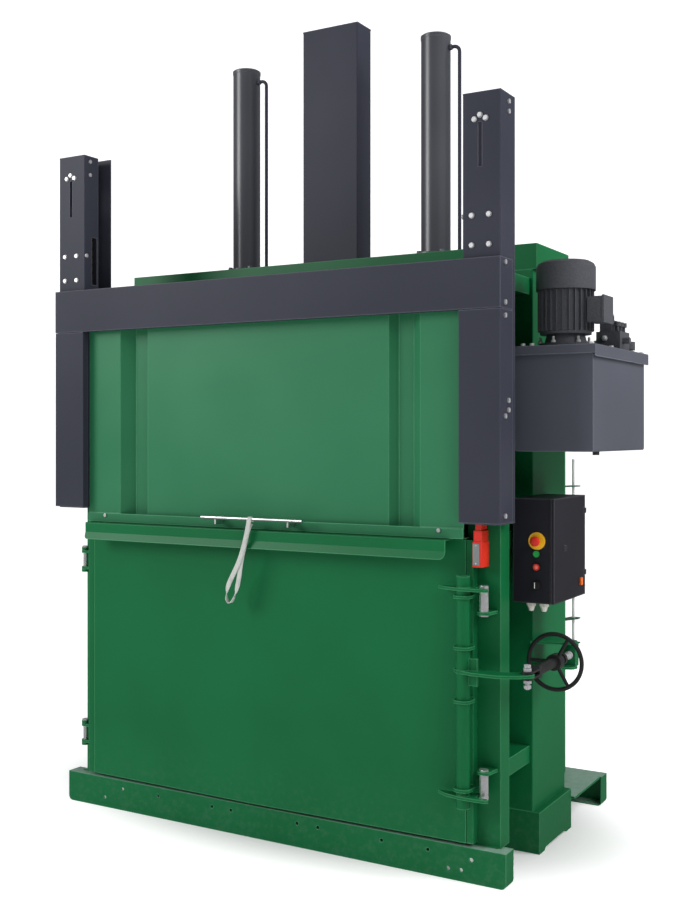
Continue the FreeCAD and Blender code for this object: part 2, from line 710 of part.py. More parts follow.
platen_half = d.platen_width / 2
platen_deep = d.platen_depth / 2
platen_face = 32
face_plate = block("platen_face", (-platen_half, platen_half), (-platen_deep, platen_deep),
                   (d.platen_bottom, d.platen_bottom + platen_face))
platen_grooves = [block(f"platen_groove_{index}", (x - 16, x + 16), (-platen_deep - 1, platen_deep + 1),
                        (d.platen_bottom - 1, d.platen_bottom + 18))
                  for index, x in enumerate((-600, -300, 0, 300, 600))]
spine_outline = rectangle(-180, 180, d.platen_bottom + platen_face, d.platen_top)
spine = profile("platen_spine", "yz", spine_outline, -platen_half + 20, platen_half - 20,
                openings=(rectangle(-168, 168, d.platen_bottom + platen_face + 12, d.platen_top - 12),))
rib_pitch = (platen_half - 20) / 4
platen_ribs = [profile(f"platen_rib_{index}_{tag}", "yz",
                       [(sign * 180, d.platen_bottom + platen_face),
                        (sign * (platen_deep - 8), d.platen_bottom + platen_face),
                        (sign * (platen_deep - 8), d.platen_bottom + 80), (sign * 180, d.platen_top - 30)],
                       index * rib_pitch - 6, index * rib_pitch + 6)
               for index in range(-4, 5)
               for tag, sign in (("rear", 1), ("front", -1))]
finish(fuse("platen", cut("platen_grooved", face_plate, *platen_grooves), spine, *platen_ribs), "platen")

# ---------------------------------------------------------------- loading gate

gate_line = [(-gate_reach, -d.gate_front), (-757, -d.gate_front), (-705, -d.gate_valley_front),
             (-640, -d.gate_valley_front), (-610, -d.gate_panel_front), (610, -d.gate_panel_front),
             (640, -d.gate_valley_front), (705, -d.gate_valley_front), (757, -d.gate_front),
             (gate_reach, -d.gate_front)]
gate_outline = gate_line + [(x, y + d.gate_sheet) for x, y in reversed(gate_line)]
gate_skin = profile("gate_skin", "xy", gate_outline, d.gate_bottom + 4, d.gate_top)
gate_rail_outline = [(-d.gate_valley_front + d.gate_sheet, d.gate_bottom), (-d.gate_front - 6, d.gate_bottom),
                     (-d.gate_front - 6, d.gate_bottom + 40), (-d.gate_front, d.gate_bottom + 40),
                     (-d.gate_front, d.gate_bottom + 4), (-d.gate_valley_front + d.gate_sheet, d.gate_bottom + 4)]
gate_rail = profile("gate_rail", "yz", gate_rail_outline, -gate_reach, gate_reach)
gate_head = block("gate_head", (-gate_reach, gate_reach),
                  (-d.gate_front, -d.gate_valley_front + d.gate_sheet), (d.gate_top, d.gate_top + 4))
finish(fuse("gate_panel", gate_skin, gate_rail, gate_head), "gate_panel")

rail_face = -d.gate_front - 6
handle_y = -712
handle_z = 1364
handle_bar = rod("handle_bar", (-252, handle_y, handle_z), 7, 509, "x")
handle_feet = [block(f"handle_foot_{tag}", (x - 4, x + 4), (handle_y, rail_face), (1336, handle_z + 5))
               for tag, x in (("left", -180), ("right", 185))]
gate_screws = [rod(f"gate_screw_head_{tag}", (sign * (gate_reach - 102), rail_face - 5, d.gate_bottom + 30), 8, 5, "y")
               for tag, sign in SIDES]
finish(group("gate_handle", fuse("gate_handle_welded", handle_bar, *handle_feet), *gate_screws), "gate_handle")

slider_y = (-d.slot_front - d.rail_front) / 2
chain_x = guide_inner + 61
slider_inner = gate_reach - 94
roller_width = 34
gate_sliders = []
for tag, sign in SIDES:
    for level, z, end in (("low", 1440, chain_x + 6), ("high", 2090, guide_inner + 41)):
        plate = block(f"slider_plate_{tag}_{level}", span(sign, slider_inner, slider_inner + 14), (-d.gate_front + d.gate_sheet, slider_y + 12),
                      (z, z + 90))
        axle = block(f"slider_axle_{tag}_{level}", span(sign, slider_inner + 14, end), (slider_y - 7, slider_y + 7),
                     (z + 38, z + 52))
        roller_start = guide_inner + 7 if sign > 0 else -guide_inner - 7 - roller_width
        roller = rod(f"slider_roller_{tag}_{level}", (roller_start, slider_y, z + 45), 20, roller_width, "x")
        gate_sliders += [fuse(f"slider_{tag}_{level}", plate, axle, roller)]
finish(group("gate_sliders", *gate_sliders), "gate_sliders")

# counterweights inside the guide posts, hung on chains over pulleys

pulley_radius = 40
pulley_z = 2930
pulley_x = chain_x + pulley_radius
weight_low, weight_high = 2300, 2780
weights, gate_chains, weight_chains = [], [], []
for tag, sign in SIDES:
    x = sign * pulley_x
    weights.append(block(f"weight_{tag}", span(sign, chain_x + 10, guide_reach - d.guide_sheet - 4),
                         (-d.guide_front + d.guide_sheet + 6, -d.rail_front - 6), (weight_low, weight_high)))
    gate_chains.append(block(f"gate_chain_{tag}", span(sign, chain_x - 3, chain_x + 3),
                             (slider_y - 6, slider_y + 6), (1493, pulley_z)))
    weight_chains.append(block(f"weight_chain_{tag}", span(sign, chain_x + 2 * pulley_radius - 3,
                                                           chain_x + 2 * pulley_radius + 3),
                               (slider_y - 6, slider_y + 6), (weight_high, pulley_z)))
    disc = rod(f"pulley_{tag}_disc", (x, slider_y - 8, pulley_z), pulley_radius - 3.5, 16, "y")
    pulley_bore = rod(f"pulley_{tag}_bore", (x, slider_y - 12, pulley_z), 8 + d.running_gap, 24, "y")
    finish(cut(f"pulley_{tag}", disc, pulley_bore), f"chain_pulley_{tag}")
finish(group("counterweights", *weights), "counterweights")
finish(group("lift_chains", *gate_chains, *weight_chains), "lift_chains")
pulley_axles = [rod(f"pulley_axle_{tag}", (sign * pulley_x, -d.guide_front + d.guide_sheet, pulley_z),
                    8, d.guide_front - d.guide_sheet - d.rail_front, "y") for tag, sign in SIDES]

strap_outer = [(-10, 1372), (12, 1372), (8, 1330), (-48, 1110), (-60, 1030), (-76, 1004), (-108, 996), (-134, 1008),
               (-141, 1040), (-120, 1110), (-30, 1330)]
strap_inner = [(-12, 1318), (-82, 1050), (-86, 1034), (-112, 1034), (-114, 1060), (-96, 1120)]
finish(profile("gate_strap", "xz", strap_outer, handle_y - 10.5, handle_y - 7.5, openings=(strap_inner,),
               rounded=((5, 14), (6, 14), (7, 14), (8, 14))), "gate_strap")

# ---------------------------------------------------------------- bale door

skin_front = [(-door_left, -d.door_front), (-50, -d.door_front - d.door_bulge), (door_right, -d.door_front)]
skin_outline = ([(-door_left, -d.door_rear)] + skin_front
                + [(door_right, -d.door_rear), (door_right - d.door_skin, -d.door_rear),
                   (door_right - d.door_skin, -d.door_front + d.door_skin),
                   (-50, -d.door_front - d.door_bulge + d.door_skin),
                   (-door_left + d.door_skin, -d.door_front + d.door_skin),
                   (-door_left + d.door_skin, -d.door_rear)])
door_skin = profile("door_skin", "xy", skin_outline, d.door_bottom, d.door_top)
cap_outline = [(-door_left + d.door_skin, -d.door_rear), (-door_left + d.door_skin, -d.door_front + d.door_skin),
               (-50, -d.door_front - d.door_bulge + d.door_skin),
               (door_right - d.door_skin, -d.door_front + d.door_skin),
               (door_right - d.door_skin, -d.door_rear)]
door_caps = [profile(f"door_cap_{tag}", "xy", cap_outline, low, low + d.door_skin)
             for tag, low in (("low", d.door_bottom), ("high", d.door_top - d.door_skin))]
finish(fuse("door_panel", door_skin, *door_caps), "door_panel")

back_outline = rectangle(-door_left + d.door_skin, door_right - d.door_skin,
                         d.door_bottom + d.door_skin, d.door_top - d.door_skin)
door_slots = [rectangle(x - 12, x + 12, 200, 1180) for x in (-600, -300, 0, 300, 600)]
door_back = profile("door_back", "xz", back_outline, -d.door_rear - d.door_skin, -d.door_rear, openings=door_slots)

door_inside = -d.door_front + d.door_skin
stiffeners = [profile(f"stiffener_{index}", "xy",
                      channel_like, d.door_bottom + d.door_skin, d.door_top - d.door_skin)
              for index, channel_like in enumerate(
                  [[(x - 30, door_inside), (x + 30, door_inside), (x + 30, -d.door_rear - d.door_skin),
                    (x + 25, -d.door_rear - d.door_skin), (x + 25, door_inside + 5), (x - 25, door_inside + 5),
                    (x - 25, -d.door_rear - d.door_skin), (x - 30, -d.door_rear - d.door_skin)]
                   for x in (-750, -450, -150, 150, 450, 750)])]
finish(fuse("door_back_welded", door_back, *stiffeners), "door_back_plate")

edge_front = -d.door_front + 3
edge_right = door_right + 30
edge_bar = profile("edge_bar", "xy", rectangle(door_right, edge_right, edge_front, -d.door_rear),
                   d.door_bottom, d.door_top,
                   openings=(rectangle(door_right + 4, edge_right - 4, edge_front + 4, -d.door_rear - 4),),
                   rounded=((0, 3), (1, 3)))

ledge_outline = [(-d.door_rear, d.door_top), (-d.door_rear, d.door_top + 4), (-d.cover_front, d.door_top + 4),
                 (-d.cover_front, d.ledge_bottom + 32), (-d.cover_front - 10, d.ledge_bottom),
                 (-d.cover_front - 6, d.ledge_bottom), (-d.cover_front + 4, d.ledge_bottom + 32),
                 (-d.cover_front + 4, d.door_top)]
ledge = profile("ledge_sheet", "yz", ledge_outline, -ledge_left, ledge_right, rounded=((2, 5),))
ledge_space = profile("ledge_corner", "xz", rectangle(-ledge_left, ledge_right, d.ledge_bottom, d.door_top + 4),
                      -d.cover_front - 12, -d.door_rear, rounded=((0, 18), (1, 24)))
ledge_shape = doc.addObject("Part::MultiCommon", "ledge_shape")
ledge_shape.Shapes = [ledge, ledge_space]
finish(ledge_shape, "door_ledge")

# hinge on the left

hinge_x, hinge_y = -door_left - d.hinge_offset, -d.hinge_y
eye = d.hinge_eye_radius
hinge_levels = (264, 1074)
lug_gap = 1.5
lug_sheet = 12
hinge_span = 102
frame_lugs, door_lugs, pins = [], [], []
for index, level in enumerate(hinge_levels):
    for tag, low, partner in (("low", level, level + lug_sheet + lug_gap),
                              ("high", level + hinge_span, level + hinge_span - lug_sheet - lug_gap)):
        frame_outline = [(hinge_x - eye, -d.post_front), (hinge_x - eye, hinge_y - eye), (hinge_x + eye, hinge_y - eye),
                         (hinge_x + eye, -d.post_front)]
        frame_lugs.append(profile(f"frame_lug_{index}_{tag}", "xy", frame_outline, low, low + lug_sheet,
                                  holes=((hinge_x, hinge_y, d.hinge_pin_radius),),
                                  rounded=((1, eye - 0.5), (2, eye - 0.5))))
        door_outline = rectangle(hinge_x - eye, -door_left - 42, hinge_y - eye, hinge_y + eye)
        door_lugs.append(profile(f"door_lug_{index}_{tag}", "xy", door_outline, partner, partner + lug_sheet,
                                 holes=((hinge_x, hinge_y, d.hinge_pin_radius + d.running_gap),),
                                 rounded=((0, eye - 0.5), (3, eye - 0.5))))
    pins.append(fuse(f"hinge_pin_{index}",
                     rod(f"hinge_pin_{index}_bar", (hinge_x, hinge_y, level), d.hinge_pin_radius,
                         hinge_span + lug_sheet),
                     rod(f"hinge_pin_{index}_head", (hinge_x, hinge_y, level + hinge_span + lug_sheet), 15, 7)))
hinge_strip = block("hinge_strip", (-door_left - 42, -door_left), (hinge_y - eye, hinge_y + 8),
                    (d.door_bottom, d.door_top))
finish(group("hinge_door_lugs", *door_lugs, hinge_strip), "hinge_door_lugs")

# ---------------------------------------------------------------- lock pins, latch and lever

latch_y = -d.latch_y
pin_x, pin_y = lock_pin_x, -d.lock_pin_y
arm_levels = (339, 1126)
pin_lugs, lock_pins = [], []
for index, (arm_low, seat) in enumerate(((339, 429), (1126, 1033))):
    lug_outline = [(pin_x - 34, -d.post_front), (pin_x - 24, pin_y - 20), (pin_x + 24, pin_y - 20),
                   (pin_x + 34, -d.post_front)]
    pin_lugs.append(profile(f"pin_lug_{index}", "xy", lug_outline, seat, seat + d.arm_sheet,
                            holes=((pin_x, pin_y, d.lock_pin_radius),), rounded=((1, 14), (2, 14))))
    low = min(arm_low, seat) - 6
    high = max(arm_low, seat) + 12 + 6
    lock_pins.append(rod(f"lock_pin_{index}", (pin_x, pin_y, low), d.lock_pin_radius, high - low))
finish(group("frame_lugs", *frame_lugs, *pin_lugs), "frame_lugs")
finish(group("pins", *pins, *lock_pins), "hinge_and_lock_pins")

jaw_gap = 1
jaw_x = pin_x - d.lock_pin_radius - jaw_gap
pin_rear = pin_y + d.lock_pin_radius + jaw_gap
arm_outline = [
    (latch_x - 107, latch_y + 7), (latch_x - 65, latch_y - 18), (latch_x, latch_y - 32), (pin_x - 4, latch_y - 32),
    (pin_x + 32, latch_y - 28), (pin_x + 42, latch_y - 18), (pin_x + 32, latch_y - 8), (pin_x - 10, latch_y - 6),
    (jaw_x, latch_y + 12), (jaw_x, pin_rear), (pin_x - 4, pin_rear), (pin_x - 4, pin_rear + 14),
    (pin_x - 16, pin_rear + 14), (pin_x - 29, pin_rear - 3), (pin_x - 40, pin_rear - 26),
    (latch_x - 20, pin_rear - 26), (latch_x - 65, latch_y + 14), (latch_x - 107, latch_y + 17)]
arms = []
for index, level in enumerate(arm_levels):
    arms.append(profile(f"latch_arm_{index}", "xy", arm_outline, level, level + d.arm_sheet,
                        rounded=((5, 4), (11, 5))))
torsion_bar = rod("torsion_bar", (latch_x, latch_y, 300), d.latch_tube_radius, 880)
torsion_bore = rod("torsion_bore", (latch_x, latch_y, 299), d.latch_tube_radius - 5, 882)

lever_end_y = -d.lever_end_y
lever_top = d.lever_height + d.arm_sheet
lever_outline = [
    (latch_x - 45, latch_y + 10), (latch_x - 20, latch_y - 22), (latch_x + 55, latch_y - 44),
    (latch_x + 155, latch_y - 42), (lever_end_x - 15, lever_end_y - 57), (lever_end_x + 21, lever_end_y - 25),
    (lever_end_x + 27, lever_end_y + 3), (lever_end_x + 15, lever_end_y + 23), (lever_end_x - 5, lever_end_y + 25),
    (lever_end_x - 35, lever_end_y + 5), (latch_x + 145, latch_y + 30), (latch_x + 75, latch_y + 22),
    (latch_x - 27, latch_y + 22)]
lever = profile("lever_plate", "xy", lever_outline, d.lever_height, lever_top,
                holes=((lever_end_x, lever_end_y, 9),),
                rounded=((2, 30), (3, 30), (4, 20), (5, 12), (7, 12)))
gussets = [block(f"lever_gusset_{index}", (latch_x + d.latch_tube_radius - 1, latch_x + 60),
                 (latch_y - 5, latch_y + 5), up)
           for index, up in enumerate(((lever_top, lever_top + 46), (d.lever_height - 46, d.lever_height)))]
finish(cut("latch", fuse("latch_welded", torsion_bar, *arms, lever, *gussets), torsion_bore), "latch")

lug_reach = d.latch_tube_radius + 10
latch_lugs = []
for index, low in enumerate((366, 700, 902, 1096)):
    outline = [(latch_x - lug_reach, latch_y - lug_reach), (latch_x + lug_reach, latch_y - lug_reach),
               (latch_x + lug_reach, latch_y + 30), (edge_right, edge_front), (door_right, edge_front),
               (door_right, edge_front - 8), (latch_x - lug_reach, latch_y + 30)]
    latch_lugs.append(profile(f"latch_lug_{index}", "xy", outline, low, low + d.arm_sheet,
                              holes=((latch_x, latch_y, d.latch_tube_radius + d.running_gap),),
                              rounded=((0, 30), (1, 30))))
finish(fuse("edge_bar_welded", edge_bar, *latch_lugs), "door_edge_bar")

# link, sleeve, handwheel and screw

wheel_z = d.wheel_height
fork_gap = 1
fork_plates = [profile(f"fork_{tag}", "xy", rectangle(lever_end_x - 20, lever_end_x + 20, lever_end_y - 24,
                                                      -d.sleeve_front - 24),
                       low, low + 9, holes=((lever_end_x, lever_end_y, 9),), rounded=((0, 18), (1, 18)))
               for tag, low in (("low", d.lever_height - fork_gap - 9), ("high", lever_top + fork_gap))]
fork_block = block("fork_block", (lever_end_x - 20, lever_end_x + 20), (-d.sleeve_front - 24, -d.sleeve_front - 1),
                   (wheel_z - 22, wheel_z + 20))
fork_bore = rod("fork_bore", (lever_end_x, -d.sleeve_front - 30, wheel_z), d.screw_radius + d.running_gap, 40, "y")
fork = cut("fork", fuse("fork_welded", *fork_plates, fork_block), fork_bore)
bolt_low = d.lever_height - fork_gap - 9
bolt_high = lever_top + fork_gap + 9
finish(fork, "lock_link")
finish(fuse("lever_bolt", rod("lever_bolt_shank", (lever_end_x, lever_end_y, bolt_low - 36), 8.7,
                              bolt_high - bolt_low + 40),
            hexagon("lever_bolt_head", (lever_end_x, lever_end_y, bolt_high), 28, 12),
            hexagon("lever_bolt_locknut", (lever_end_x, lever_end_y, bolt_high + 14), 24, 10),
            rod("lever_bolt_neck", (lever_end_x, lever_end_y, bolt_high + 11), 8.7, 4),
            hexagon("lever_bolt_nut", (lever_end_x, lever_end_y, bolt_low - 13), 28, 13),
            hexagon("lever_bolt_end_nut", (lever_end_x, lever_end_y, bolt_low - 32), 26, 12)), "lever_bolt")

wheel_y = -d.wheel_y
sleeve = rod("sleeve_body", (lever_end_x, -d.sleeve_front, wheel_z), d.sleeve_radius,
             d.sleeve_front - d.sleeve_rear, "y")
sleeve_collar = rod("sleeve_collar", (lever_end_x, -d.sleeve_rear - 22, wheel_z), d.sleeve_radius + 5, 22, "y")
hub = rod("wheel_hub", (lever_end_x, wheel_y - 22, wheel_z), 32, 44, "y")
rim = rolled_rim("wheel_rim", (lever_end_x, wheel_y, wheel_z), d.wheel_radius, d.rim_radius)
spokes = []
for index, angle in enumerate((60, 180, 300)):
    spoke = doc.addObject("Part::Cylinder", f"wheel_spoke_{index}")
    bind(spoke, "Radius", 7)
    bind(spoke, "Height", d.wheel_radius - 24)
    reach_x, reach_z = math.cos(math.radians(angle)), math.sin(math.radians(angle))
    place(spoke, (lever_end_x + 24 * reach_x, wheel_y, wheel_z + 24 * reach_z),
          Rotation(Vector(0, 0, 1), Vector(reach_x, 0, reach_z)))
    spokes.append(spoke)
screw_bore = rod("screw_bore", (lever_end_x, -d.sleeve_front - 1, wheel_z), d.screw_radius + d.running_gap,
                 d.sleeve_front - d.sleeve_rear + 2, "y")
finish(cut("handwheel", fuse("wheel_whole", sleeve, sleeve_collar, hub, rim, *spokes), screw_bore), "handwheel")

socket_y = -145
screw_shank = rod("screw_shank", (lever_end_x, -d.sleeve_front + 60, wheel_z), d.screw_radius,
                  d.sleeve_front - 60 + socket_y - 20, "y")
screw_collar = rod("screw_collar", (lever_end_x, socket_y - 22, wheel_z), 17, 14, "y")
screw_nose = cone("screw_nose", (lever_end_x, socket_y - 8, wheel_z), 17, 6, 18, "y")
finish(fuse("push_screw", screw_shank, screw_collar, screw_nose), "push_screw")

bracket_outline = [(column_reach, -226), (lever_end_x + 21, -172), (lever_end_x + 31, -140),
                   (lever_end_x + 21, -112), (column_reach, -39)]
bracket_plates = [profile(f"bracket_{tag}", "xy", bracket_outline, low, low + 10, rounded=((1, 20), (3, 20)))
                  for tag, low in (("low", wheel_z - 55), ("high", wheel_z + 45))]
socket_block = block("socket_block", (lever_end_x - 30, lever_end_x + 26), (socket_y - 2, socket_y + 34),
                     (wheel_z - 45, wheel_z + 45))
socket_cup = cone("socket_cup", (lever_end_x, socket_y - 8, wheel_z), 22, 10.5, 20, "y")
finish(fuse("screw_bracket", *bracket_plates, cut("socket_cupped", socket_block, socket_cup)), "screw_bracket")

# ---------------------------------------------------------------- control box

panel_x = box_outer - 70
stop_level = d.box_top - 165
switch_levels = {"stop": stop_level, "start": stop_level - 50, "reset": stop_level - 101,
                 "selector": stop_level - 171}
stem_radius = 9
box_skin = 3
leaf_depth = 14
shell_outer = block("box_outer", (box_inner, box_outer - leaf_depth - 1), (-d.box_front, -d.box_rear),
                    (d.box_bottom, d.box_top))
shell_inner = block("box_cavity", (box_inner + box_skin, box_outer + 1),
                    (-d.box_front + box_skin, -d.box_rear - box_skin), (d.box_bottom + box_skin, d.box_top - box_skin))
panel_holes = [rod(f"panel_hole_{name}", (panel_x, -d.box_front - 1, z), stem_radius + 0.5, box_skin + 2, "y")
               for name, z in switch_levels.items()]
box_spacer = block("box_spacer", (column_reach, box_inner), (-yoke_half + 12, -60), (1100, 1420))
box_shell = cut("box_shell", shell_outer, shell_inner, *panel_holes)

leaf = block("leaf_plate", (box_outer - leaf_depth, box_outer), (-d.box_front, -d.box_rear), (d.box_bottom, d.box_top))
leaf_hollow = block("leaf_hollow", (box_outer - leaf_depth - 1, box_outer - box_skin),
                    (-d.box_front + box_skin, -d.box_rear - box_skin),
                    (d.box_bottom + box_skin, d.box_top - box_skin))
leaf_axis_x, leaf_axis_y = box_outer - 8, -d.box_rear + 7
knuckle_radius = 5
fixed_knuckles, leaf_knuckles = [], []
for index, z in enumerate((1118, 1372)):
    fixed_knuckles.append(fuse(
        f"fixed_knuckle_{index}",
        rod(f"fixed_knuckle_{index}_barrel", (leaf_axis_x, leaf_axis_y, z), knuckle_radius, 20),
        rod(f"fixed_knuckle_{index}_pin", (leaf_axis_x, leaf_axis_y, z), 3, 42),
        block(f"fixed_knuckle_{index}_wing", (leaf_axis_x - 26, leaf_axis_x), (-d.box_rear, -d.box_rear + 3),
              (z, z + 20))))
    leaf_knuckles.append(cut(
        f"leaf_knuckle_{index}",
        fuse(f"leaf_knuckle_{index}_whole",
             rod(f"leaf_knuckle_{index}_barrel", (leaf_axis_x, leaf_axis_y, z + 21), knuckle_radius, 21),
             block(f"leaf_knuckle_{index}_arm", (leaf_axis_x, box_outer + 2), (leaf_axis_y - 3, leaf_axis_y + 3),
                   (z + 21, z + 42)),
             block(f"leaf_knuckle_{index}_wing", (box_outer, box_outer + 2), (leaf_axis_y - 34, leaf_axis_y + 3),
                   (z + 21, z + 42))),
        rod(f"leaf_knuckle_{index}_bore", (leaf_axis_x, leaf_axis_y, z + 20), 3 + d.running_gap, 24)))
finish(fuse("box_whole", box_shell, box_spacer, *fixed_knuckles), "control_box")
lock_body = rod("cabinet_lock_body", (box_outer, -292, 1268), 11, 5, "x")
lock_slot = block("cabinet_lock_slot", (box_outer + 3, box_outer + 6), (-300, -284), (1266.5, 1269.5))
cabinet_lock = cut("cabinet_lock", lock_body, lock_slot)
finish(group("cabinet_door", fuse("cabinet_leaf", cut("leaf_tray", leaf, leaf_hollow), *leaf_knuckles), cabinet_lock),
       "cabinet_door")
finish(block("cabinet_lamp", (box_outer, box_outer + 9), (-121, -101), (1103, 1133)), "cabinet_lamp")

panel_y = -d.box_front
bezel_depth = 8
stem_half = 6


def stem(name, z, front, rear):
    """Square plunger behind a button's cap, inside the round hole of the panel."""
    return block(name, (panel_x - stem_half, panel_x + stem_half), (front, rear), (z - stem_half, z + stem_half))


plate_z = switch_levels["stop"]
plate_window = block("stop_plate_window", (panel_x - stem_half - 1, panel_x + stem_half + 1),
                     (panel_y - 6, panel_y + 2), (plate_z - stem_half - 1, plate_z + stem_half + 1))
finish(cut("stop_plate", rod("stop_plate_disc", (panel_x, panel_y - 4, plate_z), 34, 4, "y"), plate_window), "stop_plate")
finish(fuse("stop_button", stem("stop_stem", plate_z, panel_y - 11, panel_y + 14),
            cone("stop_skirt", (panel_x, panel_y - 28, switch_levels["stop"]), 25, 17, 18, "y"),
            rod("stop_head", (panel_x, panel_y - 34, switch_levels["stop"]), 25, 6, "y")), "stop_button")
bezels = [tube(f"bezel_{name}", (panel_x, panel_y - bezel_depth, switch_levels[name]), 15.5, 13, bezel_depth, "y")
          for name in ("start", "reset")]
bezels.append(tube("bezel_selector", (panel_x, panel_y - bezel_depth, switch_levels["selector"]), 15.5,
                   stem_radius + 1, bezel_depth, "y"))
for name in ("start", "reset"):
    z = switch_levels[name]
    finish(fuse(f"{name}_button", rod(f"{name}_cap", (panel_x, panel_y - bezel_depth - 3, z), 12.5, 5, "y"),
                stem(f"{name}_stem", z, panel_y - bezel_depth + 2, panel_y + 14)), f"{name}_button")
z = switch_levels["selector"]
finish(fuse("selector_knob", stem("selector_stem", z, panel_y - bezel_depth - 1, panel_y + 12),
            rod("selector_disc", (panel_x, panel_y - bezel_depth - 6, z), 13, 5, "y"),
            block("selector_grip", (panel_x - 4, panel_x + 4),
                  (panel_y - bezel_depth - 20, panel_y - bezel_depth - 6), (z - 13, z + 13))), "selector_knob")
finish(group("panel_fittings", *bezels), "panel_fittings")
glands = [fuse(f"gland_{index}", hexagon(f"gland_{index}_nut", (x, -380, d.box_bottom - 14), 34, 14),
               cone(f"gland_{index}_dome", (x, -380, d.box_bottom - 34), 9, 15, 20))
          for index, x in enumerate((panel_x - 37, panel_x + 16))]
finish(group("cable_glands", *glands), "cable_glands")

# interlock beside the door

interlock_x = edge_right + 7
interlock_front = -d.post_front - 66
finish(fuse("interlock",
            block("interlock_body", (interlock_x, interlock_x + 40), (interlock_front, -d.post_front), (1212, 1308)),
            block("interlock_head", (interlock_x + 3, interlock_x + 37), (interlock_front + 4, -d.post_front),
                  (1308, 1350)),
            block("interlock_tip", (interlock_x + 8, interlock_x + 32), (interlock_front + 10, -d.post_front),
                  (1350, 1378))), "interlock_switch")

# ---------------------------------------------------------------- power pack

tank = profile("tank", "xz", rectangle(tank_inner, tank_outer, d.tank_bottom, d.tank_top),
               -d.tank_front, d.tank_rear, rounded=((0, 8), (1, 8)))
lid_low, lid_top = d.tank_top, d.tank_top + d.lid_thickness
lid_skin = 4
lid_outline = [(tank_inner - d.lid_overhang, lid_low - 12), (tank_inner - d.lid_overhang + lid_skin, lid_low - 12),
               (tank_inner - d.lid_overhang + lid_skin, lid_low),
               (tank_outer + d.lid_overhang - lid_skin, lid_low),
               (tank_outer + d.lid_overhang - lid_skin, lid_low - 12),
               (tank_outer + d.lid_overhang, lid_low - 12), (tank_outer + d.lid_overhang, lid_top),
               (tank_inner - d.lid_overhang, lid_top)]
finish(profile("lid", "xz", lid_outline, -d.tank_front - d.lid_overhang, d.tank_rear + d.lid_overhang,
               rounded=((6, 3), (7, 3))), "tank_lid")
brackets = [block(f"tank_bracket_{index}", (column_reach, tank_inner), (low, low + 80), (1690, 1990))
            for index, low in enumerate((-185, 105))]
finish(fuse("tank_mounted", tank, *brackets), "oil_tank")
lid_bolt_places = [(tank_inner + 2, -268), (tank_inner + 2, -236), (tank_inner + 2, 60), (tank_inner + 2, 240),
                   (tank_outer - 7, -420), (tank_outer - 7, -180), (tank_outer - 7, 112), (tank_outer - 7, 245)]
lid_bolts = [hexagon(f"lid_bolt_{index}", (x, y, lid_top), 17, 8) for index, (x, y) in enumerate(lid_bolt_places)]
drain_plug = hexagon("drain_plug", (tank_outer - 30, -300, d.tank_bottom - 14), 24, 14)
finish(group("tank_fasteners", *lid_bolts, drain_plug), "tank_fasteners")

motor_y = -d.motor_y
bell_height = 60
fin_length = 160
fin_count = 28
bell = fuse("bell", rod("bell_foot", (motor_x, motor_y, lid_top), 105, 12),
            cone("bell_neck", (motor_x, motor_y, lid_top + 12), 84, 74, bell_height - 24),
            rod("bell_flange", (motor_x, motor_y, lid_top + bell_height - 12), 100, 12))

motor = doc.addObject("PartDesign::Body", "motor")
core_sketch = motor.newObject("Sketcher::SketchObject", "motor_core_sketch")
core_sketch.AttachmentSupport = [(find_plane(motor, "XY_Plane"), "")]
core_sketch.MapMode = "FlatFace"
draw_circle(core_sketch, 0, 0, d.motor_radius - 14)
core = motor.newObject("PartDesign::Pad", "motor_core")
core.Profile = core_sketch
bind(core, "Length", fin_length)
fin_sketch = motor.newObject("Sketcher::SketchObject", "motor_fin_sketch")
fin_sketch.AttachmentSupport = [(find_plane(motor, "XY_Plane"), "")]
fin_sketch.MapMode = "FlatFace"
draw(fin_sketch, rectangle(d.motor_radius - 20, d.motor_radius - 2, -1.6, 1.6))
fin = motor.newObject("PartDesign::Pad", "motor_fin")
fin.Profile = fin_sketch
bind(fin, "Length", fin_length)
doc.recompute()
fins = motor.newObject("PartDesign::PolarPattern", "motor_fins")
fins.Originals = [fin]
fins.Axis = (find_plane(motor, "Z_Axis"), [""])
fins.Angle = 360
fins.Occurrences = fin_count
motor.Tip = fins
place(motor, (motor_x, motor_y, lid_top + bell_height))

cowl_low = lid_top + bell_height + fin_length
cowl_height = 115
cowl_radius = d.motor_radius + 4
cowl_skirt = rod("cowl_skirt", (motor_x, motor_y, cowl_low), cowl_radius, cowl_height - 24)
cowl_shoulder = cone("cowl_shoulder", (motor_x, motor_y, cowl_low + cowl_height - 24), cowl_radius, cowl_radius - 7, 14)
cowl_crown = cone("cowl_crown", (motor_x, motor_y, cowl_low + cowl_height - 10), cowl_radius - 7, cowl_radius - 24, 10)
cowl_space = rod("cowl_space", (motor_x, motor_y, cowl_low - 1), cowl_radius - 3, cowl_height - 24)
grille = []
for index in range(12):
    slot = block(f"grille_slot_{index}", (0, 46), (-4, 4), (0, 40))
    angle = math.radians(30 * index)
    along_x, along_y = math.cos(angle), math.sin(angle)
    place(slot, (motor_x + 38 * along_x + 4 * along_y, motor_y + 38 * along_y - 4 * along_x,
                 cowl_low + cowl_height - 30), Rotation(Vector(0, 0, 1), 30 * index))
    grille.append(slot)
finish(cut("fan_cowl", fuse("cowl_whole", cowl_skirt, cowl_shoulder, cowl_crown), cowl_space, *grille), "fan_cowl")

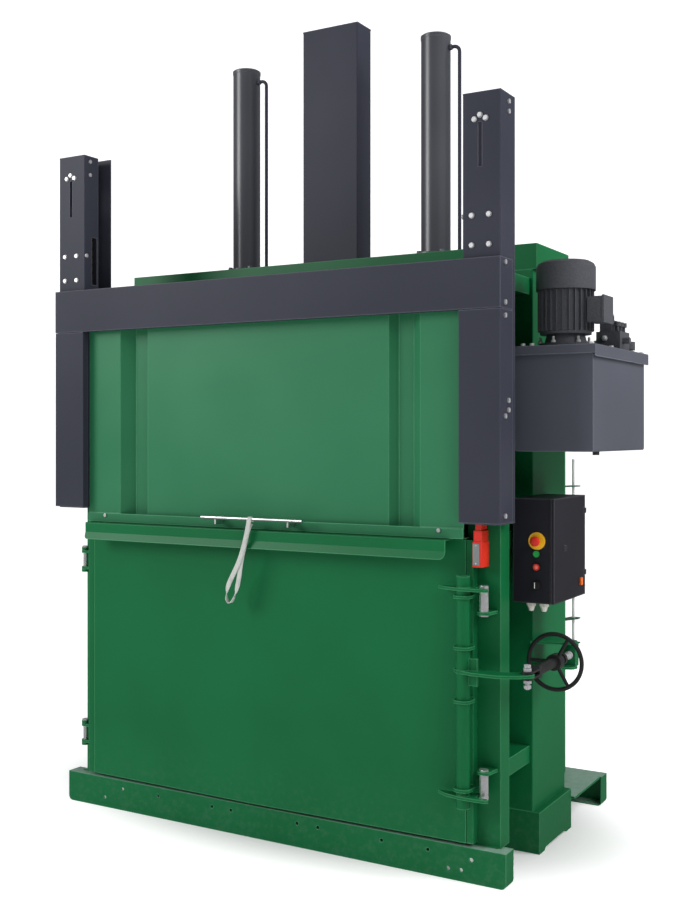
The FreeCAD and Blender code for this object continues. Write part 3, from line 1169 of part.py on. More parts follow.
fan_low = cowl_low + 20
blades = []
for index in range(8):
    blade = block(f"fan_blade_{index}", (0, 74), (-2, 2), (0, 50))
    angle = math.radians(45 * index)
    along_x, along_y = math.cos(angle), math.sin(angle)
    place(blade, (motor_x + 20 * along_x + 2 * along_y, motor_y + 20 * along_y - 2 * along_x, fan_low),
          Rotation(Vector(0, 0, 1), 45 * index))
    blades.append(blade)
finish(fuse("fan", rod("fan_hub", (motor_x, motor_y, fan_low), 28, 50),
            rod("fan_shaft", (motor_x, motor_y, cowl_low + 1), 14, 75),
            rod("fan_disc", (motor_x, motor_y, fan_low), 96, 4), *blades), "motor_fan")

terminal = block("terminal", (motor_x + d.motor_radius - 8, motor_x + d.motor_radius + 52), (motor_y - 55, motor_y + 55),
                 (lid_top + bell_height + 30, lid_top + bell_height + 128))
terminal_lid = block("terminal_lid", (motor_x + d.motor_radius + 52, motor_x + d.motor_radius + 60),
                     (motor_y - 59, motor_y + 59), (lid_top + bell_height + 26, lid_top + bell_height + 132))
motor_space = rod("terminal_space", (motor_x, motor_y, lid_top), d.motor_radius - 1, 400)
terminal_box = cut("terminal_box", fuse("terminal_whole", terminal, terminal_lid), motor_space)
finish(group("motor_whole", bell, motor, terminal_box), "motor_body")

valve_x, valve_y = tank_outer - 57, 20
block_top = lid_top + 78
valve_body = block("valve_body", (valve_x - 55, valve_x + 45), (valve_y - 65, valve_y + 65), (lid_top, block_top))
coils = [block(f"coil_{index}", (valve_x - 42, valve_x + 8), (y - 22, y + 22), (block_top, block_top + 48))
         for index, y in enumerate((valve_y - 36, valve_y + 20))]
coil_ends = [rod(f"coil_end_{index}", (valve_x - 17, y, block_top + 48), 12, 22)
             for index, y in enumerate((valve_y - 36, valve_y + 20))]
coils = [fuse(f"coil_whole_{index}", body, end) for index, (body, end) in enumerate(zip(coils, coil_ends))]
knobs = [fuse(f"valve_knob_{index}", rod(f"valve_knob_{index}_stem", (valve_x + 27, y, block_top), 7, 22),
              rod(f"valve_knob_{index}_head", (valve_x + 27, y, block_top + 22), 13, 18))
         for index, y in enumerate((valve_y - 40, valve_y + 2, valve_y + 44))]
side_knob = rod("valve_side_knob", (valve_x + 45, valve_y - 25, lid_top + 40), 13, 30, "x")
filler = fuse("filler", rod("filler_neck", (tank_outer - 48, 172, lid_top), 26, 14),
              rod("filler_cap", (tank_outer - 48, 172, lid_top + 14), 34, 34))
finish(group("valve_block", valve_body, *coils, *knobs, side_knob, filler), "valve_block")

# ---------------------------------------------------------------- tie reel holder at the rear

rear_face = depth_half + d.wall
reel_x, reel_y = wall_outer + 5.5, rear_face + 96.5
reel_plates = []
for index, z in enumerate((725, 842, 951, 1469)):
    outline = [(wall_outer - 38, rear_face), (wall_outer, rear_face), (reel_x + 30, reel_y - 22),
               (reel_x + 30, reel_y + 14), (reel_x - 14, reel_y + 14)]
    reel_plates.append(profile(f"reel_plate_{index}", "xy", outline, z, z + 5,
                               holes=((reel_x, reel_y, 6 + d.running_gap),)))
reel_rod = fuse("reel_rod", rod("reel_rod_bar", (reel_x, reel_y, 719), 6, 880),
                rod("reel_rod_head", (reel_x, reel_y, 714), 10, 11))
finish(group("reel_holder", *reel_plates, reel_rod), "tie_reel_holder")

# ---------------------------------------------------------------- bolts on the dark sheets

bolt_flats = 17
bolt_head = 7
slot_x = -6
front_bolts = [(slot_x - 23, 2901), (slot_x + 23, 2901), (slot_x, 2915), (-40, 2540), (30, 2540), (-40, 2428), (30, 2428)]
guide_bolts = []
for tag, sign in SIDES:
    middle = sign * (guide_inner + guide_reach) / 2
    for index, (offset, z) in enumerate(front_bolts):
        guide_bolts.append(hexagon(f"front_bolt_{tag}_{index}", (middle + offset, -d.guide_front - bolt_head, z),
                                   bolt_flats, bolt_head, "y"))
    cover_low_x = cover_reach if sign > 0 else -cover_reach - bolt_head
    for index, (y, z) in enumerate(((-653, 2360), (-653, 2210), (-653, 2161), (-653, 1785), (-653, 1412),
                                    (-620, 1844), (-620, 1808))):
        guide_bolts.append(hexagon(f"cover_bolt_{tag}_{index}", (cover_low_x, y, z), bolt_flats, bolt_head, "x"))
    guide_low_x = guide_reach if sign > 0 else -guide_reach - bolt_head
    for index, (y, z) in enumerate(((-601, 2972), (-601, 2934))):
        guide_bolts.append(hexagon(f"guide_bolt_{tag}_{index}", (guide_low_x, y, z), bolt_flats, bolt_head, "x"))
finish(group("guide_bolts", *guide_bolts, *pulley_axles), "guide_bolts")

# ---------------------------------------------------------------- check and write

doc.recompute()
faults = []
for item in doc.Objects:
    if {"Invalid", "Error"} & set(item.State):
        faults.append(f"{item.Name}: {item.State}")
for node, item in nodes:
    if item.Shape.isNull() or not item.Shape.isValid() or not item.Shape.Solids:
        faults.append(f"{node}: no valid solid")
if faults:
    raise RuntimeError("\n".join(faults))

os.makedirs("parts", exist_ok=True)
for node, item in nodes:
    item.Shape.exportStep(f"parts/{node}.step")
    bounds = item.Shape.BoundBox
    print(f"{node:24s} {len(item.Shape.Solids):3d} solids  "
          f"x {bounds.XMin:8.1f} {bounds.XMax:8.1f}  y {bounds.YMin:8.1f} {bounds.YMax:8.1f}  "
          f"z {bounds.ZMin:8.1f} {bounds.ZMax:8.1f}")
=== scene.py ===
import math

import bmesh
import bpy
from mathutils import Matrix, Vector


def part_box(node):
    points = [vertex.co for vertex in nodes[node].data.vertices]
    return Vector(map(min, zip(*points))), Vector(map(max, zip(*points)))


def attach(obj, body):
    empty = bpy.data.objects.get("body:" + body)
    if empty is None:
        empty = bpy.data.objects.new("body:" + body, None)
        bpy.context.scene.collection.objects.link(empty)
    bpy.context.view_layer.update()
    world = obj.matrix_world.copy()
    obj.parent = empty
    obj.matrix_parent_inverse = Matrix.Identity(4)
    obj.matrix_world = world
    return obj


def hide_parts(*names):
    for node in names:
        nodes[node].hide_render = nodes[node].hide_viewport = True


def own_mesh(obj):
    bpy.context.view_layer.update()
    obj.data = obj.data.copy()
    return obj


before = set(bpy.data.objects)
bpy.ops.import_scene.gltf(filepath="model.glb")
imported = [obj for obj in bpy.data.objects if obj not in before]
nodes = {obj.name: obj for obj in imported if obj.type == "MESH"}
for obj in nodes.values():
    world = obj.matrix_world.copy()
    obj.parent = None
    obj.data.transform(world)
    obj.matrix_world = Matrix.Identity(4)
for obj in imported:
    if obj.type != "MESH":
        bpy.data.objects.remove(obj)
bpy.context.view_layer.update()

SIDES = (("left", -1), ("right", 1))


def middle(node):
    """Centre of a piece of the machine, at rest."""
    low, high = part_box(node)
    return (low + high) / 2


# ------------------------------------------------------------------ camera and lights

CAMERA_PLACE = Vector((2.777, -4.718, 1.716))
CAMERA_TURN = math.radians(30.18)
FOCAL_PIXELS = 1167.84
IMAGE_HEIGHT = 900
HORIZON_ROW = 434.53
SENSOR_HEIGHT = 36
VIEW_LIMIT = 200


def aim(place, target):
    return (Vector(target) - Vector(place)).to_track_quat("-Z", "Y").to_euler()


def set_camera():
    """The camera of the photograph: level, with the horizon moved by a shift of the lens."""
    lens = bpy.data.cameras.new("camera")
    lens.sensor_fit = "VERTICAL"
    lens.sensor_height = SENSOR_HEIGHT
    lens.lens = FOCAL_PIXELS * SENSOR_HEIGHT / IMAGE_HEIGHT
    lens.shift_y = (HORIZON_ROW - IMAGE_HEIGHT / 2) / IMAGE_HEIGHT
    lens.clip_end = VIEW_LIMIT
    camera = bpy.data.objects.new("camera", lens)
    camera.location = CAMERA_PLACE
    camera.rotation_euler = (math.pi / 2, 0, CAMERA_TURN)
    bpy.context.scene.collection.objects.link(camera)
    bpy.context.scene.camera = camera


def add_light(name, place, target, size, power, glossy=True):
    """A rectangular soft box, aimed at a target."""
    light = bpy.data.lights.new(name, "AREA")
    light.shape = "RECTANGLE"
    light.size, light.size_y = size
    light.energy = power
    lamp = bpy.data.objects.new(name, light)
    lamp.location = place
    lamp.rotation_euler = aim(place, target)
    lamp.visible_glossy = glossy
    bpy.context.scene.collection.objects.link(lamp)


# ------------------------------------------------------------------ shader maths


class Socket:
    """A shader socket that takes part in Python expressions by adding Math nodes."""

    def __init__(self, paint, link):
        self.paint = paint
        self.link = link

    def math(self, operation, first, second):
        return self.paint.node("ShaderNodeMath", {"operation": operation}, {0: first, 1: second})

    def __add__(self, other):
        return self.math("ADD", self, other)

    def __sub__(self, other):
        return self.math("SUBTRACT", self, other)

    def __rsub__(self, other):
        return self.math("SUBTRACT", other, self)

    def __mul__(self, other):
        return self.math("MULTIPLY", self, other)

    def __gt__(self, other):
        return self.math("GREATER_THAN", self, other)

    def __lt__(self, other):
        return self.math("LESS_THAN", self, other)

    __radd__ = __add__
    __rmul__ = __mul__


class Paint:
    """One procedural material, made node by node."""

    BEVEL_SAMPLES = 6

    def __init__(self, name, **surface):
        self.material = bpy.data.materials.new(name)
        self.material.use_nodes = True
        self.tree = self.material.node_tree
        self.tree.nodes.clear()
        self.shader = self.tree.nodes.new("ShaderNodeBsdfPrincipled")
        output = self.tree.nodes.new("ShaderNodeOutputMaterial")
        self.tree.links.new(self.shader.outputs[0], output.inputs["Surface"])
        for socket, value in surface.items():
            self.set(socket.replace("_", " "), value)
        self.place = self.node("ShaderNodeTexCoord", {}, {}, "Object")

    def feed(self, target, value):
        """Links a socket to an input, or sets the input's own constant."""
        if isinstance(value, Socket):
            self.tree.links.new(value.link, target)
        elif isinstance(value, tuple) and len(value) == 3 and target.type == "RGBA":
            target.default_value = (*value, 1)
        else:
            target.default_value = value

    def node(self, kind, settings, inputs, output=0):
        """Adds a node: its settings first, then the values or links of its sockets."""
        made = self.tree.nodes.new(kind)
        for key, value in settings.items():
            setattr(made, key, value)
        for key, value in inputs.items():
            self.feed(made.inputs[key], value)
        return Socket(self, made.outputs[output])

    def set(self, socket, value):
        self.feed(self.shader.inputs[socket], value)

    def noise(self, scale, detail=3, roughness=0.55, stretch=(1, 1, 1)):
        """Cloudy pattern from 0 to 1; scale counts its cells per metre."""
        inputs = {"Vector": self.stretched(stretch), "Scale": scale, "Detail": detail, "Roughness": roughness}
        return self.node("ShaderNodeTexNoise", {}, inputs, "Fac")

    def stretched(self, stretch):
        if stretch == (1, 1, 1):
            return self.place
        return self.node("ShaderNodeVectorMath", {"operation": "MULTIPLY"}, {0: self.place, 1: stretch})

    def wave(self, direction, scale, distortion):
        settings = {"bands_direction": direction}
        inputs = {"Vector": self.place, "Scale": scale, "Distortion": distortion, "Detail": 1}
        return self.node("ShaderNodeTexWave", settings, inputs, "Fac")

    def axis(self, name):
        return self.node("ShaderNodeSeparateXYZ", {}, {0: self.place}, name)

    def normal(self):
        return self.node("ShaderNodeNewGeometry", {}, {}, "Normal")

    def facing(self, name):
        return self.node("ShaderNodeSeparateXYZ", {}, {0: self.normal()}, name)

    def rounded(self, radius):
        """The surface normal as if every edge were rounded to a radius."""
        return self.node("ShaderNodeBevel", {"samples": self.BEVEL_SAMPLES}, {"Radius": radius}, "Normal")

    def band(self, value, low, high):
        """0 below low, 1 above high, smooth between."""
        inputs = {"Value": value, "From Min": low, "From Max": high}
        return self.node("ShaderNodeMapRange", {"interpolation_type": "SMOOTHSTEP"}, inputs, "Result")

    def mix(self, share, first, second):
        return self.node("ShaderNodeMix", {"data_type": "RGBA"}, {0: share, 6: first, 7: second}, 2)

    def folded(self, radius):
        """1 along a folded edge, 0 on the flat sheet."""
        inputs = {0: self.rounded(radius), 1: self.normal()}
        likeness = self.node("ShaderNodeVectorMath", {"operation": "DOT_PRODUCT"}, inputs, "Value")
        return 1 - self.band(likeness, low=0.78, high=0.985)

    def relief(self, height, strength, distance, edge=0.0):
        """Surface relief, with folded edges rounded to a radius."""
        inputs = {"Height": height, "Strength": strength, "Distance": distance}
        if edge:
            inputs["Normal"] = self.rounded(edge)
        self.set("Normal", self.node("ShaderNodeBump", {}, inputs, "Normal"))


# ------------------------------------------------------------------ finishes

# Sizes of the patterns, in cells per metre.
FINE_GRAIN = 520            # orange peel of sprayed powder
LONG_WAVE = 7               # sheet that isn't quite flat
BROAD_PATCH = 1.6           # slow change of tone over a sheet
DUST_SPECKLE = 38
SCUFFS = 9
TOOL_LINES = 900            # fine lines of turned or drawn metal
HANDLING_MARKS = 30
MOULD_SKIN = 700            # spark-eroded skin of a mould
MOULD_TONE = 14
SAND_PEBBLE = 160           # skin of a sand casting
CASTING_DUST = 24
WEFT, WARP = 210, 260       # crossed yarns of the webbing
WEBBING_SOIL = 22
ROLLED_LINES = 600
OIL_FILM = 60

DUST_HEIGHTS = (0.02, 0.42)         # floor dust is full below the first height and gone above the second
FOLD_RADIUS = 0.008
GREY_DUST = (0.16, 0.15, 0.13)
DRAIN_HEIGHT = 1.66                 # the tank's drain plug is below this height, the lid's bolts above it
REEL_ROD = (0.930, 0.640, 0.012)    # place and radius of the upright rod of the reel holder
PLATE_HALVES = 52.5                 # half plates of the lift chain per metre


def powder_coat(name, tone, deeper, dust, roughness, shine=0.12, top=None):
    """Sprayed and baked paint on folded steel: orange peel, slow tone change, floor dust and faint scuffs, a
    painted highlight along folded edges and, when a top colour is given, a painted pale reflection on faces that
    look up.
    """
    paint = Paint(name, Specular_IOR_Level=shine, Coat_Roughness=0.25)
    patch = paint.noise(BROAD_PATCH, detail=2)
    colour = paint.mix(paint.band(patch, low=0.3, high=0.7), tone, deeper)
    low = 1 - paint.band(paint.axis("Z"), *DUST_HEIGHTS)
    speckle = paint.noise(DUST_SPECKLE, detail=4, roughness=0.7)
    dusty = low * paint.band(speckle, low=0.42, high=0.75) * 0.35
    scratches = paint.noise(SCUFFS, detail=5, roughness=0.75, stretch=(1, 1, 6))
    scuff = paint.band(scratches, low=0.66, high=0.8) * 0.18
    colour = paint.mix(dusty, colour, dust)
    colour = paint.mix(scuff, colour, dust)
    # painted highlight: folded edges are made lighter in colour, standing in for the light they catch
    painted_edge_highlight = tuple(0.06 + channel * 1.9 for channel in tone)
    colour = paint.mix(paint.folded(FOLD_RADIUS) * 0.8, colour, painted_edge_highlight)
    if top:
        # painted reflection: faces that look up are mixed towards the pale top colour, broken up a little by the
        # speckle pattern
        painted_top_sheen_mask = paint.band(paint.facing("Z"), low=0.8, high=0.95)
        colour = paint.mix(painted_top_sheen_mask * (0.75 + paint.band(speckle, low=0.4, high=0.7) * 0.25), colour, top)
    paint.set("Base Color", colour)
    paint.set("Roughness", roughness + patch * 0.08 + dusty * 0.4 + scuff * 0.3)
    paint.set("Coat Weight", 0.03 - dusty * 0.03)
    peel = paint.noise(FINE_GRAIN, detail=1) + paint.noise(LONG_WAVE, detail=2) * 1.5
    paint.relief(peel, strength=0.12, distance=0.0012, edge=0.003)
    return paint.material


def bare_metal(name, tone, shade, roughness, grain=(1, 1, 1), metal=1.0):
    """Turned, drawn or plated steel with fine lines along the work and dull handling marks."""
    paint = Paint(name, Metallic=metal)
    lines = paint.noise(TOOL_LINES, detail=2, roughness=0.6, stretch=grain)
    mark = paint.noise(HANDLING_MARKS, detail=4, roughness=0.7)
    paint.set("Base Color", paint.mix(paint.band(mark, low=0.35, high=0.75), tone, shade))
    paint.set("Roughness", roughness + lines * 0.14 + paint.band(mark, low=0.5, high=0.8) * 0.12)
    paint.relief(lines, strength=0.1, distance=0.0004, edge=0.001)
    return paint.material


def moulded(name, tone, shade, roughness, scale=MOULD_SKIN):
    """Moulded plastic or rubber with a fine skin."""
    paint = Paint(name, Specular_IOR_Level=0.45)
    skin = paint.noise(scale, detail=2)
    paint.set("Base Color", paint.mix(paint.noise(MOULD_TONE), tone, shade))
    paint.set("Roughness", roughness + skin * 0.12)
    paint.relief(skin, strength=0.12, distance=0.0005, edge=0.001)
    return paint.material


def cast(name, tone, shade, roughness):
    """Painted casting: pebbled skin and a little dust on what lies flat."""
    paint = Paint(name, Specular_IOR_Level=0.4)
    pebble = paint.noise(SAND_PEBBLE, detail=4, roughness=0.7)
    speckle = paint.noise(CASTING_DUST, detail=4, roughness=0.7)
    dusty = paint.band(paint.facing("Z"), low=0.6, high=1.0) * paint.band(speckle, low=0.4, high=0.7) * 0.3
    colour = paint.mix(paint.band(pebble, low=0.35, high=0.65), tone, shade)
    paint.set("Base Color", paint.mix(dusty, colour, GREY_DUST))
    paint.set("Roughness", roughness + pebble * 0.1 + dusty * 0.6)
    paint.relief(pebble, strength=0.25, distance=0.0012, edge=0.002)
    return paint.material


def woven_webbing(name, tone, shade):
    """Flat polyester webbing: crossed yarns and slight soiling."""
    paint = Paint(name, Sheen_Weight=0.3, Specular_IOR_Level=0.25)
    ribs = paint.wave("Z", WEFT, distortion=0.6)
    yarns = paint.wave("DIAGONAL", WARP, distortion=0.4)
    soil = paint.band(paint.noise(WEBBING_SOIL, detail=4, roughness=0.7), low=0.45, high=0.75)
    paint.set("Base Color", paint.mix(soil * 0.5 + ribs * 0.15, tone, shade))
    paint.set("Roughness", 0.78 + yarns * 0.1)
    paint.relief(ribs + yarns * 0.5, strength=0.5, distance=0.0006)
    return paint.material


def fastener_finish():
    """Plated lid bolts, and a blackened drain plug under the tank."""
    paint = Paint("tank_fastener_finish")
    plated = paint.axis("Z") > DRAIN_HEIGHT
    mark = paint.noise(HANDLING_MARKS, detail=4, roughness=0.7)
    paint.set("Base Color", paint.mix(plated, (0.030, 0.030, 0.032), (0.84, 0.84, 0.83)))
    paint.set("Metallic", plated * 0.5)
    paint.set("Roughness", 0.34 + mark * 0.16)
    paint.relief(mark, strength=0.1, distance=0.0004, edge=0.001)
    return paint.material


def reel_finish():
    """Painted plates with a bare drawn rod through them."""
    paint = Paint("reel_finish", Specular_IOR_Level=0.3)
    x, y, radius = REEL_ROD
    across = paint.axis("X") - x
    along = paint.axis("Y") - y
    rod = (across * across + along * along) < radius ** 2
    lines = paint.noise(ROLLED_LINES, detail=2, roughness=0.6, stretch=(1, 1, 0.05))
    plate = paint.mix(lines, (0.012, 0.060, 0.028), (0.016, 0.074, 0.036))
    paint.set("Base Color", paint.mix(rod, plate, (0.78, 0.79, 0.79)))
    paint.set("Metallic", rod * 0.3)
    paint.set("Roughness", 0.42 - rod * 0.12 + lines * 0.08)
    paint.relief(lines, strength=0.1, distance=0.0004, edge=0.001)
    return paint.material


def chain_finish():
    """Oiled leaf chain: rows of plates with a dark gap at each pin."""
    paint = Paint("leaf_chain", Metallic=0.9)
    height = paint.axis("Z") * PLATE_HALVES
    step = paint.node("ShaderNodeMath", {"operation": "PINGPONG"}, {0: height, 1: 1.0})
    plate = paint.band(step, low=0.1, high=0.3)
    oil = paint.noise(OIL_FILM)
    paint.set("Base Color", paint.mix(plate * 0.7 + oil * 0.3, (0.10, 0.09, 0.08), (0.30, 0.29, 0.27)))
    paint.set("Roughness", 0.3 + oil * 0.25)
    paint.relief(plate, strength=0.6, distance=0.0015)
    return paint.material


MACHINE_GREEN = {"tone": (0.0052, 0.122, 0.040), "deeper": (0.0045, 0.108, 0.034), "dust": (0.05, 0.14, 0.08),
                 "roughness": 0.36}

GREEN = powder_coat("green_coat", **MACHINE_GREEN)
# the deck's upward faces get a painted pale reflection
DECK = powder_coat("deck_coat", **MACHINE_GREEN, top=(0.24, 0.36, 0.30))
# painted sheen: the gate panel is a lighter copy of the machine green, standing in for the broad sheen on it
SHEEN_LIT_GATE_GREEN = powder_coat("gate_coat", tone=(0.029, 0.163, 0.076), deeper=(0.022, 0.148, 0.066),
                   dust=(0.07, 0.17, 0.10), roughness=0.36)
DARK = powder_coat("anthracite_coat", tone=(0.037, 0.039, 0.054), deeper=(0.032, 0.034, 0.048),
                   dust=(0.10, 0.10, 0.11), roughness=0.42, shine=0.07)
# painted sheen: a lighter copy of the anthracite stands in for the bright streak on the barrels; the lower
# roughness and higher shine are the shader's own
SHEEN_LIT_BARREL = powder_coat("barrel_coat", tone=(0.060, 0.062, 0.072), deeper=(0.050, 0.052, 0.062),
                     dust=(0.10, 0.10, 0.11), roughness=0.26, shine=0.4)
TANK = powder_coat("tank_coat", tone=(0.072, 0.076, 0.098), deeper=(0.062, 0.066, 0.086),
                   dust=(0.12, 0.12, 0.14), roughness=0.30, shine=0.2)
CABINET = powder_coat("cabinet_coat", tone=(0.017, 0.017, 0.023), deeper=(0.014, 0.014, 0.019),
                      dust=(0.05, 0.05, 0.06), roughness=0.42)
ZINC = bare_metal("zinc_plate", (0.62, 0.62, 0.63), (0.46, 0.47, 0.48), roughness=0.36, metal=0.55)
CHROME = bare_metal("hard_chrome", (0.90, 0.90, 0.92), (0.78, 0.78, 0.80), roughness=0.12,
                    grain=(1, 1, 0.05), metal=0.85)
ALUMINIUM = bare_metal("drawn_aluminium", (0.78, 0.79, 0.80), (0.62, 0.63, 0.65), roughness=0.28,
                       grain=(0.05, 1, 1))
IRON = cast("grey_iron", (0.09, 0.09, 0.09), (0.05, 0.05, 0.05), roughness=0.55)
MOTOR = cast("motor_enamel", (0.072, 0.075, 0.086), (0.052, 0.054, 0.062), roughness=0.40)
BLACK = moulded("black_moulding", (0.012, 0.012, 0.013), (0.020, 0.020, 0.021), roughness=0.35)
RED = moulded("red_moulding", (0.66, 0.030, 0.014), (0.56, 0.020, 0.012), roughness=0.22)
YELLOW = moulded("yellow_moulding", (0.85, 0.48, 0.01), (0.78, 0.42, 0.01), roughness=0.30)
START = moulded("green_moulding", (0.01, 0.34, 0.06), (0.01, 0.28, 0.05), roughness=0.22)
ORANGE = moulded("orange_lens", (0.85, 0.16, 0.01), (0.75, 0.12, 0.01), roughness=0.18)
GREY = moulded("grey_moulding", (0.20, 0.21, 0.21), (0.16, 0.17, 0.17), roughness=0.45)
WHITE = moulded("white_marking", (0.80, 0.80, 0.78), (0.72, 0.72, 0.70), roughness=0.40)
LENS = moulded("pale_red_lens", (0.80, 0.22, 0.16), (0.72, 0.16, 0.12), roughness=0.25)
RUBBER = moulded("black_rubber", (0.010, 0.010, 0.011), (0.016, 0.016, 0.017), roughness=0.6, scale=300)
NYLON = moulded("slide_nylon", (0.62, 0.61, 0.55), (0.54, 0.53, 0.48), roughness=0.45)
WEBBING = woven_webbing("grey_webbing", (0.50, 0.52, 0.49), (0.30, 0.31, 0.29))


def dress(material, names):
    """Gives one finish to the named pieces of the machine."""
    for name in names.split():
        nodes[name].data.materials.clear()
        nodes[name].data.materials.append(material)


dress(DECK, "base_beams")
dress(GREEN, "yoke_base_beam yoke_columns yoke_head_beam chamber_floor side_walls rear_wall side_ribs "
             "rear_ribs front_posts platen door_panel door_back_plate door_ledge hinge_door_lugs frame_lugs "
             "latch door_edge_bar screw_bracket")
dress(SHEEN_LIT_GATE_GREEN, "gate_panel")
dress(DARK, "crossbar guide_covers guide_posts guide_column cylinder_pipes")
dress(SHEEN_LIT_BARREL, "cylinder_barrels")
dress(TANK, "oil_tank tank_lid")
dress(CABINET, "control_box cabinet_door")
dress(ZINC, "lever_bolt guide_bolts gate_sliders push_screw")
dress(fastener_finish(), "tank_fasteners")
dress(reel_finish(), "tie_reel_holder")
dress(chain_finish(), "lift_chains")
dress(CHROME, "piston_rods hinge_and_lock_pins")
dress(ALUMINIUM, "gate_handle")
dress(MOTOR, "motor_body fan_cowl motor_fan valve_block")
dress(IRON, "counterweights chain_pulley_left chain_pulley_right")
dress(BLACK, "lock_link panel_fittings handwheel selector_knob")
dress(RED, "stop_button reset_button interlock_switch")
dress(YELLOW, "stop_plate")
dress(START, "start_button")
dress(ORANGE, "cabinet_lamp")
dress(NYLON, "guide_pads cable_glands")


# ------------------------------------------------------------------ making pieces

AXES = {"x": Matrix.Rotation(math.pi / 2, 4, "Y"), "y": Matrix.Rotation(-math.pi / 2, 4, "X"), "z": Matrix()}
CENTRE = 0.0001         # radius of the tiny ring that closes a turned piece at its axis
SEAT_GAP = 0.0002       # a piece stands this far off what it sits on, so that faces never coincide


def add_piece(name, mesh, material, body):
    """Puts a new piece on a body of the machine, with its finish."""
    piece = bpy.data.objects.new(name, mesh)
    mesh.materials.append(material)
    bpy.context.scene.collection.objects.link(piece)
    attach(piece, body)
    return piece


def circle(sides):
    """Angles of the corners of a ring."""
    return [2 * math.pi * step / sides for step in range(sides)]


def skin_rings(build, rings):
    """Joins rings of corners into a closed skin with a cap at each end."""
    for near, far in zip(rings, rings[1:]):
        for index in range(len(near)):
            after = (index + 1) % len(near)
            build.faces.new((near[index], near[after], far[after], far[index])).smooth = True
    build.faces.new(reversed(rings[0]))
    build.faces.new(rings[-1])
    bmesh.ops.recalc_face_normals(build, faces=build.faces)


def lathe(name, outline, place, axis, material, body, sides=40):
    """Turns an outline of (radius, height) pairs about an axis through a place."""
    mesh = bpy.data.meshes.new(name)
    build = bmesh.new()
    rings = [[build.verts.new((radius * math.cos(turn), radius * math.sin(turn), height))
              for turn in circle(sides)] for radius, height in outline]
    skin_rings(build, rings)
    build.transform(Matrix.Translation(place) @ AXES[axis])
    build.to_mesh(mesh)
    return add_piece(name, mesh, material, body)


def eased_block(name, low, high, ease, material, body):
    """A block between two corners with rounded edges."""
    mesh = bpy.data.meshes.new(name)
    build = bmesh.new()
    bmesh.ops.create_cube(build, size=1)
    low, high = Vector(low), Vector(high)
    for vertex in build.verts:
        vertex.co = [centre + side * width
                     for centre, side, width in zip((low + high) / 2, vertex.co, high - low)]
    bmesh.ops.bevel(build, geom=build.edges[:], offset=ease, segments=3, profile=0.5, affect="EDGES")
    for face in build.faces:
        face.smooth = True
    build.to_mesh(mesh)
    return add_piece(name, mesh, material, body)


# ------------------------------------------------------------------ strap on the gate handle

STRAP_WIDTH = 0.022
STRAP_THICKNESS = 0.0028
SELVEDGE = 0.6              # width of the rounded edge, as a share of half the thickness
TURN_RISE = 0.085           # the runs turn on edge over this height above the bottom of the loop
STRAP_ROUTE = [
    (0.001, -0.7035, 1.352), (0.001, -0.7035, 1.368), (0.001, -0.712, 1.3745), (0.001, -0.7205, 1.368),
    (-0.003, -0.7205, 1.34), (-0.022, -0.720, 1.265), (-0.048, -0.719, 1.190), (-0.083, -0.716, 1.130),
    (-0.116, -0.712, 1.075), (-0.124, -0.710, 1.030), (-0.113, -0.709, 1.007), (-0.095, -0.709, 1.010),
    (-0.077, -0.710, 1.045), (-0.057, -0.712, 1.105), (-0.046, -0.714, 1.180), (-0.024, -0.7155, 1.262),
    (-0.004, -0.7150, 1.335), (0.0, -0.7045, 1.345),
]


def follow(route):
    """Points along the smooth line that a route's control points give."""
    curve = bpy.data.curves.new("route", "CURVE")
    curve.dimensions = "3D"
    spline = curve.splines.new("NURBS")
    spline.points.add(len(route) - 1)
    for point, place in zip(spline.points, route):
        point.co = (*place, 1)
    spline.order_u = 3
    spline.use_endpoint_u = True
    spline.resolution_u = 8
    carrier = bpy.data.objects.new("route", curve)
    line = bpy.data.meshes.new_from_object(carrier)
    points = [vertex.co.copy() for vertex in line.vertices]
    bpy.data.objects.remove(carrier)
    bpy.data.curves.remove(curve)
    bpy.data.meshes.remove(line)
    return points


def band_section(width, thickness):
    """Webbing seen end on: flat faces with rounded selvedges."""
    half, lip = width / 2, thickness / 2
    flat = half - lip * SELVEDGE
    return [(-half, 0), (-flat, lip), (flat, lip), (half, 0), (flat, -lip), (-flat, -lip)]


def strap():
    """A webbing loop over the handle bar: flat to the gate above, each run turned on edge round the bottom."""
    points = follow(STRAP_ROUTE)
    lowest = min(point.z for point in points)
    section = band_section(STRAP_WIDTH, STRAP_THICKNESS)
    mesh = bpy.data.meshes.new("gate_strap_loop")
    build = bmesh.new()
    rings = []
    for index, point in enumerate(points):
        ahead = points[min(index + 1, len(points) - 1)]
        behind = points[max(index - 1, 0)]
        along = (ahead - behind).normalized()
        turn = min(1, max(0, (lowest + TURN_RISE - point.z) / TURN_RISE))
        turn = turn * turn * (3 - 2 * turn)
        wide = Vector((1 - turn, -turn, 0))
        wide = (wide - along * wide.dot(along)).normalized()
        thick = along.cross(wide)
        rings.append([build.verts.new(point + wide * across + thick * through) for across, through in section])
    skin_rings(build, rings)
    build.to_mesh(mesh)
    piece = add_piece("gate_strap_loop", mesh, WEBBING, "gate")
    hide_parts("gate_strap")
    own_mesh(piece)


# ------------------------------------------------------------------ bolts of the guide posts

POST_WIDTH = 0.154
FRONT_BOLTS = ((-0.029, 0.102), (0.017, 0.102), (-0.006, 0.088), (-0.040, 0.463), (0.030, 0.463),
               (-0.040, 0.575), (0.030, 0.575))             # off the post's middle line, below its top
INNER_BOLTS = ((0.011, 0.463), (0.035, 0.088), (0.035, 0.027))      # behind the post's front, below its top
FRONT_WASHER = ((0.005, 0.0003), (0.0106, 0.0003), (0.0112, -0.0004), (0.0112, -0.0014), (0.0106, -0.0018),
                (0.005, -0.0018))
BOLT_HEAD = ((CENTRE, 0.0), (0.0098, 0.0), (0.0098, 0.0062), (0.0088, 0.0070), (CENTRE, 0.0070))


